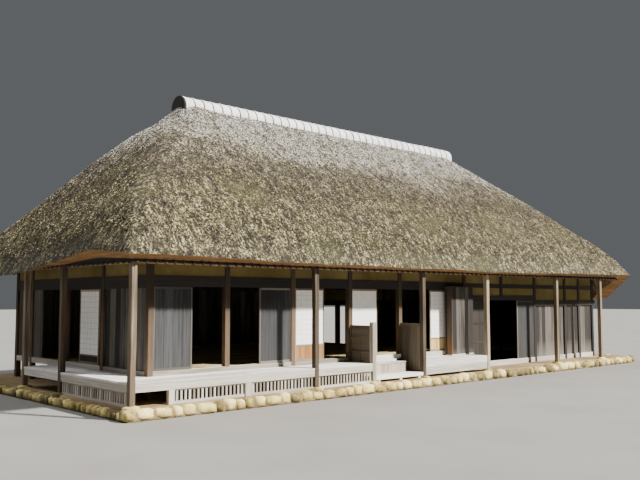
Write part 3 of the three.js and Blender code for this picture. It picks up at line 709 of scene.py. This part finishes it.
def entry():
    inner, bench_end = FRONT_INNER, ROOMS_END - OUTER_POST
    framed = Piece(54, along_y(STUB))
    for levels in ((0.41, 0.47), (0.7, 0.745), (1.0, 1.045), (1.26, 1.32)):
        framed.bar((inner, -POST), 0.02, levels)
    for run in ((inner, inner + 0.045), (-POST - 0.045, -POST)):
        framed.bar(run, 0.019, (0.47, 1.26))
    middle = (inner - POST) / 2
    framed.bar((middle - 0.017, middle + 0.017), 0.016, (0.47, 1.0))
    framed.board(inner + 0.02, -POST - 0.02, -0.007, 0.007, 0.45, 1.28, 1, along=1)
    framed.finish("wing_screen_framed", [SCREEN_WOOD, SCREEN_WOOD], "beams", ["wing_screen_left"])

    boarded = Piece(55, WALLS["left"])
    planks(boarded, inner, -POST, BENCH - 0.014, BENCH + 0.014, 0.15, 1.27, 0.135)
    boarded.board(inner, -POST, BENCH - 0.02, BENCH + 0.02, 1.26, 1.33, 1)
    for z in (0.2, 0.72):
        boarded.board(inner, -POST, BENCH, BENCH + 0.02, z, z + 0.05, 1)
    boarded.finish("wing_screen_boarded", [SCREEN_WOOD, SCREEN_WOOD], "boards",
                   ["wing_screen_right"])

    low = Piece(56)
    a0, a1, front = STUB + OUTER_POST, BENCH - OUTER_POST, OUTER_FRONT - NOSING
    for y0, y1 in ((front, -0.6), (-0.598, -0.335), (-0.333, -POST)):
        low.board(a0, a1, y0, y1, 0.055, 0.14)
    for x in (a0 + 0.08, (a0 + a1) / 2, a1 - 0.16):
        low.board(x, x + 0.09, front + 0.02, -POST, 0, 0.055)
    low.finish("entry_platform_planks", [FLOOR_BOARD], "floor", ["entry_platform"], edge=0.005)

    step = Piece(57)
    a0, a1 = STUB + 0.024, 7.06
    for x0, x1, y0, y1, z0, z1 in ((a0, a1, -0.44, -0.25, 0.36, 0.40),
                                   (a0, a1, -0.248, -POST, 0.36, 0.40),
                                   (a0 + 0.02, a1 - 0.16, -0.235, -POST, 0.4, 0.455),
                                   (a0 + 0.01, a1 + 0.12, -0.15, -POST - 0.003, 0.458, 0.556)):
        step.board(x0, x1, y0, y1, z0, z1, 1)
    planks(step, a0 + 0.012, a1 - 0.012, -0.43, -0.395, 0.14, 0.36, 0.3)
    for x0, x1 in ((a0 + 0.012, a0 + 0.05), (a1 - 0.05, a1 - 0.012)):
        step.board(x0, x1, -0.394, -POST, 0.14, 0.36)
    step.finish("entry_step_planks", [STEP_BOARD, FLOOR_BOARD], "timber", ["entry_step"],
                edge=0.005)

    seat = Piece(58)
    for y0, y1 in pairwise(divide(inner, -POST, 4)):
        seat.board(BENCH + 0.02, bench_end, y0 + BOARD_GAP, y1 - BOARD_GAP, 0.38, 0.42)
    for levels in ((0.06, 0.236), (0.239, 0.42)):
        seat.board(BENCH + OUTER_POST, bench_end, OUTER_FRONT - 0.04, inner, *levels)
    seat.finish("bench_planks", [FLOOR_BOARD], "floor", ["bench_floor", "bench_front"],
                edge=0.005)


def shutter_case():
    """Upright boards round a narrow case; its left side leaves a slot for the shutters."""
    piece = Piece(59)
    x0, x1, y0, y1, z0, z1 = 9.09, ROOMS_END + POST, -0.305, -0.06, 0.42, 2.29
    low, high = z0 + 0.045, z1 - 0.025
    planks(piece, x0 + 0.026, x1 - 0.002, y0 + 0.004, y0 + 0.028, low, high, 0.2)
    piece.place = WALLS["left"]
    planks(piece, y0 + 0.028, y1, x1 - 0.03, x1 - 0.004, low, high, 0.08)
    piece.place = WALLS["front"]
    planks(piece, x0, x1 - 0.03, y1 - 0.03, y1 - 0.002, low, high, 0.2)
    piece.board(x0, x1, y0, y1, z0, low - 0.008, 3)
    # A thin dark strip under the planks, set back a little: painted shadow below their lower edge
    piece.board(x0 + 0.01, x1 - 0.003, y0 + 0.006, y1 - 0.003, low - 0.01, low + 0.003, 1)
    piece.board(x0 + 0.01, x1, y0 + 0.002, y1, high, z1, 1)
    piece.board(x0, x0 + 0.025, y0, -0.13, low, z1, 2)
    piece.board(x0 + 0.003, x0 + 0.03, -0.09, y1, low, z1, 2)
    piece.finish("shutter_case_boards", [WALL_BOARD, DARK_WOOD, CASE_BOARD, EDGE_WOOD], "boards",
                 ["shutter_case"])


# Sliding panels: a is along the wall, b across it from the panel's outer face

def panel_frame(piece, a0, a1, z0, z1, stile=0.03):
    for left, right in ((a0, a0 + stile), (a1 - stile, a1)):
        piece.board(left, right, 0, 0.03, z0, z1)
    for low, high in ((z0, z0 + 0.05), (z1 - 0.045, z1)):
        piece.board(a0 + stile, a1 - stile, 0.001, 0.029, low, high)


def shoji(name, place, a0, z1, skirt, seed, skirt_finish=TAN_BOARD, slat=0.28):
    """White paper in front of thin bars, which press through it as strips of painted shade, over a
    skirt of boards.
    """
    piece = Piece(seed, place)
    z0, a1 = ROOM_PANEL[0], a0 + 0.89
    inside, paper = (a0 + 0.03, a1 - 0.03), (skirt + 0.028, z1 - 0.045)
    panel_frame(piece, a0, a1, z0, z1)
    piece.board(*inside, 0.001, 0.029, skirt, paper[0])
    piece.board(*inside, 0.006, 0.0075, *paper, 1)
    # Each bar shows through the paper as a strip of painted shade
    for at in divide(*inside, 5)[1:-1]:
        piece.board(at - 0.0045, at + 0.0045, 0.0053, 0.006, *paper, 3)
        piece.board(at - 0.0035, at + 0.0035, 0.0075, 0.022, *paper)
    for at in divide(*paper, round((paper[1] - paper[0]) / 0.115))[1:-1]:
        piece.board(*inside, 0.0054, 0.006, at - 0.0045, at + 0.0045, 3)
        piece.board(*inside, 0.0075, 0.0215, at - 0.0035, at + 0.0035)
    planks(piece, *inside, 0.008, 0.02, z0 + 0.05, skirt, slat, 2)
    piece.finish(name + "_grid", [SHOJI_WOOD, PAPER, skirt_finish, PAPER_ON_BAR], "paper", [name],
                 name, edge=0.0015)


def board_door(name, place, a0, a1, levels, finishes, slot, seed, width=0.2, rails=()):
    piece = Piece(seed, place)
    z0, z1 = levels
    inside = (a0 + 0.035, a1 - 0.035)
    panel_frame(piece, a0, a1, z0, z1, 0.035)
    planks(piece, *inside, 0.008, 0.022, z0 + 0.05, z1 - 0.045, width, 1)
    for z in rails:
        piece.board(*inside, 0.002, 0.028, z, z + 0.05)
    piece.finish(name + "_boards", finishes, slot, [name], name, edge=0.002)


def sliding_panels():
    outer, inner, side = along_x(-0.04), along_x(0.01), along_y(-0.04)
    (foot, top), grey, red = ROOM_PANEL, [DOOR_FRAME, GREY_BOARD], [DARK_WOOD, RED_BROWN]
    board_door("board_door_left", outer, 0.066, 0.956, ROOM_PANEL, grey, "boards", 61)
    board_door("board_door_right", outer, 2.68, 3.57, ROOM_PANEL, grey, "boards", 62)
    shoji("shoji_middle", outer, 3.702, top, 0.885, 63)
    shoji("shoji_right", inner, 8.55, top, 0.875, 64, STRAW_BOARD, slat=0.1)
    piece = Piece(65, outer)
    panel_frame(piece, 5.52, 6.41, foot, top, 0.022)
    piece.board(5.542, 6.388, 0.006, 0.024, foot + 0.05, top - 0.045, 1)
    piece.finish("paper_door_sheet", [SHOJI_WOOD, PAPER], "paper", ["paper_door"], "paper_door",
                 edge=0.002)
    board_door("main_door_left", inner, 10.18, 11.1, HALL_PANEL, red, "beams", 66, 0.28,
               (0.68, 1.22))
    board_door("main_door_right", outer, 12.649, 13.569, HALL_PANEL, grey, "boards", 67, 0.19)
    shoji("side_paper_door", side, 1.99, 2.142, 0.72, 68, DARK_WOOD)


# Podium

def podium():
    ground = Piece(71)
    ground.board(-0.9, 18.2, -0.9, DEPTH + 0.9, -0.22, 0)
    ground.board(-0.98, 18.28, -0.98, DEPTH + 0.98, -0.22, -0.045)
    ground.finish("podium_earth", [EARTH], "stone", ["podium"], edge=0.03, steps=2)

    edge = Piece(72)
    chance = edge.chance

    def row(start, end, fixed, inward, across=False, lengths=(0.2, 0.46), heights=(0.17, 0.225)):
        """Stones side by side along one edge of the podium, along x or else across it."""
        at = start
        while at < end - 0.1:
            length = min(chance.uniform(*lengths), end - at)
            if end - at - length < 0.16:
                length = end - at
            high, deep = chance.uniform(*heights), chance.uniform(0.2, 0.3)
            spot, size = (at + length / 2, fixed + inward * (deep * 0.62)), (length * 0.97, deep)
            if across:
                spot, size = spot[::-1], size[::-1]
            edge.stone((*spot, -0.22 + high / 2 + 0.014), (*size, high))
            at += length

    row(-1.03, 18.33, -1.05, 1)
    row(-1.03, 18.33, DEPTH + 1.05, -1)
    row(-0.8, DEPTH + 0.8, -1.05, 1, True, (0.15, 0.24), (0.14, 0.18))
    row(-0.8, DEPTH + 0.8, 18.35, -1, True)
    under_posts = [(x, y) for x in LONG_ROW for y in (OUTER_FRONT, OUTER_BACK)]
    under_posts += [(OUTER_LEFT, y) for y in VERANDA_POSTS] + [(STUB, OUTER_FRONT)]
    under_posts += [(OUTER_RIGHT, y) for y in AISLE_POSTS]
    for x, y in under_posts:
        size = (chance.uniform(0.26, 0.34), chance.uniform(0.24, 0.3), 0.11)
        edge.stone((x, y, -0.012), size, 0.1)
    edge.finish("podium_stones", [STONE], "stone", edge=0)


# Roof

LIP, RIDGE_TOP, MIDDLE = 2.70, 6.98, 3.18
LONG_SLOPE, LEFT_SLOPE, RIGHT_SLOPE = 4.24, 3.81, 4.71
EAVE_LEFT, EAVE_RIGHT, EAVE_FRONT, EAVE_BACK = -1.06, 18.06, -1.06, 7.42
LEFT_RIDGE, RIGHT_RIDGE = Vector((2.75, MIDDLE)), Vector((13.35, MIDDLE))
CORNERS = [Vector((x, y)) for y in (EAVE_FRONT, EAVE_BACK) for x in (EAVE_LEFT, EAVE_RIGHT)]
FRONT_LEFT, FRONT_RIGHT, BACK_LEFT, BACK_RIGHT = CORNERS
LOW_EAVE = (Vector((18.56, 0.04)), Vector((18.56, 6.32)))
SHOULDER = (0.1, 3.36)
LEFT_LIP = [(-1.06, 0.0), (0.25, 0.12), (0.74, 0.1), (1.61, 0.02), (2.32, -0.05), (3.21, -0.14),
            (4.18, -0.24), (5.2, -0.26), (6.3, -0.18), (7.42, -0.03)]
EDGE_ROWS = [i * 0.06 for i in range(8)]
ROWS = [d / LONG_SLOPE for d in EDGE_ROWS + [0.435 + i * 0.1057 for i in range(37)]]
LAST_EDGE_ROW = len(EDGE_ROWS) - 1
# The underside rises from each wall: how much per metre, and from what
FRONT_RISE, LEFT_RISE, RIGHT_RISE, RIGHT_FOOT = 1.01, 1.12, 0.955, 18.13


def soft_min(a, b, reach):
    """The lower of two slopes, rounded where they meet."""
    near = max(reach - abs(a - b), 0) / reach
    return min(a, b) - near * near * reach / 4


def profile(inward, length):
    """Height of one slope: steep up to the shoulder, then a full, slightly swelling face."""
    if inward < 0:
        return LIP + inward * 1.5
    share, shoulder = SHOULDER
    steep = LIP + inward * (shoulder - LIP) / (share * length)
    face = RIDGE_TOP - (length - inward) * (RIDGE_TOP - shoulder) / ((1 - share) * length)
    swell = 0.16 * math.sin(math.pi * min(inward / length, 1))
    return soft_min(steep, face, 0.2) + swell


def left_lip(y):
    """The left eave rises behind its front corner and hangs low towards the back."""
    for (y0, z0), (y1, z1) in pairwise(LEFT_LIP):
        if y <= y1:
            return z0 + (z1 - z0) * (max(y - y0, 0) / (y1 - y0))
    return LEFT_LIP[-1][1]


def roof_height(x, y):
    """Height of the thatch: four slopes, fuller corners, the wandering left lip and the ridge."""
    front, back = profile(y - EAVE_FRONT, LONG_SLOPE), profile(EAVE_BACK - y, LONG_SLOPE)
    left, right = profile(x - EAVE_LEFT, LEFT_SLOPE), profile(EAVE_RIGHT - x, RIGHT_SLOPE)
    above_lip = max(min(front, back, left, right) - LIP, 0)
    reach = min(0.05 + 0.4 * above_lip, 0.75)
    z = soft_min(soft_min(front, back, min(reach, 0.55)), soft_min(left, right, reach), reach)
    for corner in CORNERS:
        apart = (Vector((x, y)) - corner).length / 3.2
        z += 0.07 * math.exp(-apart * apart)
    z += left_lip(y) * math.exp(-((x - EAVE_LEFT) / 1.1) ** 2)
    past = x - 2.7
    crown = math.exp(-(past / (0.55 if past > 0 else 0.25)) ** 2 - ((y - MIDDLE) / 0.6) ** 2)
    below = math.exp(-((x - 2.1) / 0.3) ** 2 - ((y - MIDDLE) / 0.9) ** 2)
    z += 0.12 * crown - 0.07 * below
    z += 0.035 * noise.noise(Vector((x * 0.45, y * 0.6, 3.1)))
    z += 0.014 * noise.noise(Vector((x * 1.9, y * 1.9, 8.4)))
    return z


def from_side(y):
    return min(y, 2 * MIDDLE - y)


def under_front(y):
    return 3.44 + FRONT_RISE * y


def under_left(x):
    return 3.56 + LEFT_RISE * x


def under_right(x):
    return 1.97 + RIGHT_RISE * (RIGHT_FOOT - x)


def spaced(stops, counts):
    """Points along a line of stops, with the given number from each stop up to the next."""
    points = [a.lerp(b, i / count) for (a, b), count in zip(pairwise(stops), counts)
              for i in range(count)]
    return points + [stops[-1]]


def slope(side, low, high, finish, down, seed):
    """One thatched slope: a face over its plan, an underside, and a trimmed edge round both."""
    mesh = bmesh.new()
    row = mesh.verts.layers.int.new("row")
    reed, shade = (mesh.verts.layers.float.new(name) for name in ("reed", "shade"))
    lips = [roof_height(*start) for start in low]

    def point(x, y, z, j, straw):
        vert = mesh.verts.new((x, y, z))
        # Every point gets a low shade of 0.25, so the sheet shows darker between the straws:
        # painted shade in the gaps
        vert[row], vert[reed], vert[shade] = j, straw, 0.25
        return vert

    def above(x, y, j, lip):
        under_cap = abs(y - MIDDLE) + max(0, 2.6 - x) < 0.3
        return point(x, y, roof_height(x, y), j, 0.0 if under_cap else min(j * 0.2, 1.0))

    def below(x, y, j, lip):
        z = min(under_front(from_side(y)), under_left(x), under_right(x))
        if j <= LAST_EDGE_ROW:
            inner = LIP - 0.1 if side == "left" else min(LIP - 0.1, lip - 0.06)
            z = lip - 0.012 + (inner - lip) * j / LAST_EDGE_ROW
        return point(x, y, z, j, 0.0)

    rims = []
    for make in (above, below):
        sheet = [[make(*start.lerp(end, share), j, lip) for start, end, lip in zip(low, high, lips)]
                 for j, share in enumerate(ROWS)]
        for first, second in pairwise(sheet):
            strip(mesh, first, second)
        rims.append([*sheet[0], *(line[-1] for line in sheet[1:-1]), *sheet[-1][::-1],
                     *(line[0] for line in sheet[-2::-1])])
    strip(mesh, *rims)
    bmesh.ops.remove_doubles(mesh, verts=mesh.verts, dist=0.0001)
    bmesh.ops.recalc_face_normals(mesh, faces=mesh.faces)
    for face in mesh.faces:
        last = max(vert[row] for vert in face.verts)
        face.smooth = True
        if face.normal.z < 0.3 and last > 0:
            face.material_index = 1 if last <= LAST_EDGE_ROW else 2
    for edge in mesh.edges:
        edge.smooth = edge.calc_face_angle(0) < 0.7
    thing = settle(side + "_thatch", mesh, [finish, CUT_STRAW, UNDER_THATCH],
                   ["thatch_" + side])
    lay_reeds(thing, finish, down, seed)


def lay_reeds(thing, finish, down, seed, density=1800.0):
    """Scatters loose straw over the slope, its tips pointing down and a little out."""
    group = bpy.data.node_groups.new("loose_straw", "GeometryNodeTree")
    for way in ("INPUT", "OUTPUT"):
        group.interface.new_socket("Geometry", in_out=way, socket_type="NodeSocketGeometry")

    def node(kind, values=None, output=0, **settings):
        """Adds a node and hands on one of its outputs."""
        return add_node(group, kind, values, **settings).outputs[output]

    def random_vector(low, high, seed):
        return node("FunctionNodeRandomValue", {0: low, 1: high, "Seed": seed},
                    data_type="FLOAT_VECTOR")

    bare = node("NodeGroupInput")
    reed = node("GeometryNodeInputNamedAttribute", {"Name": "reed"}, "Attribute",
                data_type="FLOAT")
    amount = node("ShaderNodeMath", {0: reed, 1: density}, operation="MULTIPLY")
    points = node("GeometryNodeDistributePointsOnFaces",
                  {"Mesh": bare, "Density": amount, "Seed": seed})
    straw = node("GeometryNodeMeshCircle", {"Vertices": 3, "Radius": 1.0}, fill_type="NGON")
    straw = node("GeometryNodeSetMaterial", {"Geometry": straw, "Material": finish})
    lean = random_vector((0.05, -0.6, -0.5), (0.55, 0.6, 0.5), seed)
    lean = node("FunctionNodeEulerToRotation", {0: lean})
    turn = node("FunctionNodeEulerToRotation", {0: down.to_track_quat("Y", "Z").to_euler()})
    turn = node("FunctionNodeRotateRotation", {0: turn, 1: lean}, rotation_space="LOCAL")
    size = random_vector((0.006, 0.022, 1), (0.013, 0.06, 1), seed + 1)
    size = node("ShaderNodeVectorMath", {0: size, "Scale": reed}, operation="SCALE")
    laid = node("GeometryNodeInstanceOnPoints",
                {"Points": points, "Instance": straw, "Rotation": turn, "Scale": size})
    tone = node("FunctionNodeRandomValue", {2: 0.0, 3: 1.0, "Seed": seed + 2}, 1,
                data_type="FLOAT")
    laid = node("GeometryNodeStoreNamedAttribute", {"Geometry": laid, "Name": "shade",
                                                    "Value": tone},
                data_type="FLOAT", domain="INSTANCE")
    laid = node("GeometryNodeRealizeInstances", {0: laid})
    join = add_node(group, "GeometryNodeJoinGeometry", {0: laid})
    give(join.inputs[0], bare)
    add_node(group, "NodeGroupOutput", {0: join.outputs[0]})

    layer = thing.modifiers.new("loose_straw", "NODES")
    layer.node_group = group
    bpy.context.view_layer.update()
    seen = thing.evaluated_get(bpy.context.evaluated_depsgraph_get())
    covered = bpy.data.meshes.new_from_object(seen)
    covered.name = thing.name
    plain = thing.data
    thing.modifiers.remove(layer)
    thing.data = covered
    bpy.data.meshes.remove(plain)
    bpy.data.node_groups.remove(group)


def roof():
    ridge_line = spaced([LEFT_RIDGE, RIGHT_RIDGE], [150])
    slope("front", spaced([FRONT_LEFT, FRONT_RIGHT], [150]), ridge_line, LONG_THATCH,
          Vector((0, -1, -1)), 1)
    slope("back", spaced([BACK_LEFT, BACK_RIGHT], [150]), ridge_line, LONG_THATCH,
          Vector((0, 1, -1)), 2)
    slope("left", spaced([FRONT_LEFT, BACK_LEFT], [70]), [LEFT_RIDGE] * 71, END_THATCH,
          Vector((-1, 0, -1.1)), 3)
    slope("right", spaced([FRONT_RIGHT, *LOW_EAVE, BACK_RIGHT], [14, 50, 14]),
          [RIGHT_RIDGE] * 79, END_THATCH, Vector((1, 0, -0.9)), 4)


def rafters():
    """Poles under the thatch with bamboo across them; the pole ends show below the front edge."""
    def spread(piece, at, end):
        """Places roughly evenly spaced, and a thickness for each."""
        while at < end:
            at += piece.chance.uniform(0.17, 0.23)
            yield at, piece.chance.uniform(0.055, 0.075)

    def reach(x):
        return min(3.05, (min(under_left(x), under_right(x)) - 3.44) / FRONT_RISE - 0.05)

    def tips(piece, place, at, end):
        while at < end:
            a = at + piece.chance.uniform(-0.012, 0.012)
            piece.pole(place(a, -0.78, 2.69), place(a, -0.92, 2.59), 0.055, 0.05, sides=7, kind=1)
            at += 0.2

    def as_is(x, y, z):
        return x, y, z

    def mirrored(x, y, z):
        return x, 2 * MIDDLE - y, z

    for name, place, seed in (("front_rafters", as_is, 81), ("back_rafters", mirrored, 82)):
        piece = Piece(seed)
        for x, thick in spread(piece, -0.75, 17.3):
            far = reach(x)
            if far > -0.4:
                piece.pole(place(x, -0.79, 2.6), place(x, far, under_front(far) - 0.05), thick,
                           thick * 0.8)
        tips(piece, place, -0.8, 17.5)
        y = -0.6
        while y < 3.0:
            z = under_front(y) - 0.01
            x0, x1 = (z - 3.5) / LEFT_RISE, RIGHT_FOOT - (z - 1.93) / RIGHT_RISE
            piece.pole(place(x0, y, z), place(x1, y, z), 0.03, 0.025, sides=6)
            y += 0.33
        piece.finish(name, [POLE_WOOD, DARK_WOOD], "timber", edge=0)

    left = Piece(83)
    for y, thick in spread(left, -0.55, 6.9):
        end = (under_front(from_side(y)) - 3.6) / LEFT_RISE
        if end > -0.3:
            left.pole((-0.79, y, under_left(-0.79) - 0.08), (end, y, under_left(end) - 0.08),
                      thick, thick * 0.8)
    tips(left, lambda y, x, z: (x, y, z), -0.8, 7.2)
    left.finish("left_rafters", [POLE_WOOD, DARK_WOOD], "timber", edge=0)

    right = Piece(84)
    for y, thick in spread(right, -0.3, 6.6):
        start = min(18.14, 17.95 + (from_side(y) - 0.5) * 0.5)
        end = RIGHT_FOOT - (under_front(from_side(y)) - 2.12) / RIGHT_RISE
        if start - end > 0.4:
            right.pole((start, y, under_right(start) - 0.06), (end, y, under_right(end) - 0.06),
                       thick, thick * 0.8)
    right.finish("right_rafters", [POLE_WOOD], "timber", edge=0)


def ridge():
    """Half-round tiles end to end, each a little wider at its left lip, and an arched board."""
    left, right, count = 2.64, 13.38, 38
    pitch = (right - left) / count
    piece = Piece(91)

    def arch(outline, centre, kind=0):
        """An outline of x and radius, turned half round the ridge line, with feet on the thatch."""
        steps = [(0, 0.1), *((math.pi * i / 14, 0) for i in range(15)), (math.pi, 0.1)]
        piece.skin([[(x, MIDDLE + r * math.cos(turn), centre + r * math.sin(turn) - drop)
                     for x, r in outline] for turn, drop in steps], Vector((1, 0, 0)), kind)

    def centre_at(x):
        return 6.738 + 0.02 * ((x - left) / (right - left)) ** 2

    for i in range(count):
        x0 = left + i * pitch
        x1, x2 = x0 + pitch * 0.9, x0 + pitch + 0.015
        arch([(x0, 0.262), (x0, 0.308), (x0 + 0.03, 0.309), (x0 + 0.045, 0.300), (x1, 0.294),
              (x1, 0.262)], centre_at(x0) + piece.chance.uniform(-0.004, 0.003))
        arch([(x1 - 0.02, 0.264), (x1 - 0.02, 0.28), (x2, 0.28), (x2, 0.264)], centre_at(x0), 1)
    bmesh.ops.recalc_face_normals(piece.mesh, faces=piece.mesh.faces)
    piece.finish("ridge_tiles", [TILE, DARK_WOOD], "ridge", ["ridge_cap"])

    # The foot of the right board is as wide as its arch, that of the left one a little narrower
    for side, x, radius, first, seed in (("left", left - 0.04, 0.306, 0, 92),
                                         ("right", right - 0.04, 0.256, 1, 93)):
        board = Piece(seed)
        centre = centre_at(x)
        ring = []
        for i in range(36):
            turn = math.pi * i / 18
            rise = radius * math.sin(turn) if first <= i <= 18 - first else -0.09
            ring.append((MIDDLE + radius * math.cos(turn), centre + rise))
        board.skin([[(at, *spot) for spot in ring] for at in (x - 0.014, x + 0.02)],
                   Vector((0, 0, 1)))
        bmesh.ops.recalc_face_normals(board.mesh, faces=board.mesh.faces)
        board.finish("ridge_end_board_" + side, [DARK_WOOD], "beams", ["ridge_end_" + side],
                     edge=0.004)


def dress_frame():
    """Gives the parts of the frame that keep their shape an old timber finish."""
    for name in ("wall_plate_front", "wall_plate_back", "wall_plate_left", "wall_plate_right",
                 "hall_step_beam"):
        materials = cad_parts[name].data.materials
        materials.clear()
        materials.append(PLATE_WOOD)


def stage():
    floor_mesh = bmesh.new()
    bmesh.ops.create_grid(floor_mesh, x_segments=1, y_segments=1, size=150)
    pale = surface("studio_floor", (0.5, 2), [
        (0.3, (0.2, 0.195, 0.185)), (0.7, (0.225, 0.22, 0.21))], 0.95, 0.001)
    floor = add_mesh("studio_floor", floor_mesh, [pale])

    def lamp(name, toward, energy, spread):
        light = bpy.data.lights.new(name, "SUN")
        light.energy = energy
        light.angle = spread
        turn = (-Vector(toward)).to_track_quat("Z", "Y").to_euler()
        add_object(name, light).rotation_euler = turn
        return light

    lamp("key", (-0.5, 1, -0.985), 13.5, math.radians(3)).color = (1.0, 0.955, 0.88)
    lamp("fill", (0.4, -0.5, -1.3), 2.0, math.radians(50))
    world = bpy.data.worlds.new("studio")
    bpy.context.scene.world = world
    world.use_nodes = True
    background = world.node_tree.nodes["Background"]
    background.inputs[0].default_value = (0.83, 0.88, 0.93, 1)
    background.inputs[1].default_value = 0.14

    lens = bpy.data.cameras.new("camera")
    lens.lens = 43.40
    lens.sensor_width = 36
    lens.clip_end = 400
    camera = add_object("camera", lens)
    camera.location = (-16.539, -16.406, 2.147)
    camera.rotation_euler = (math.radians(94.416), 0, -math.radians(42.903))
    bpy.context.scene.camera = camera


wall_timbers()
wall_boards()
wall_plaster()
outer_frames()
floors()
skirting()
entry()
shutter_case()
sliding_panels()
podium()
roof()
rafters()
ridge()
dress_frame()
stage()
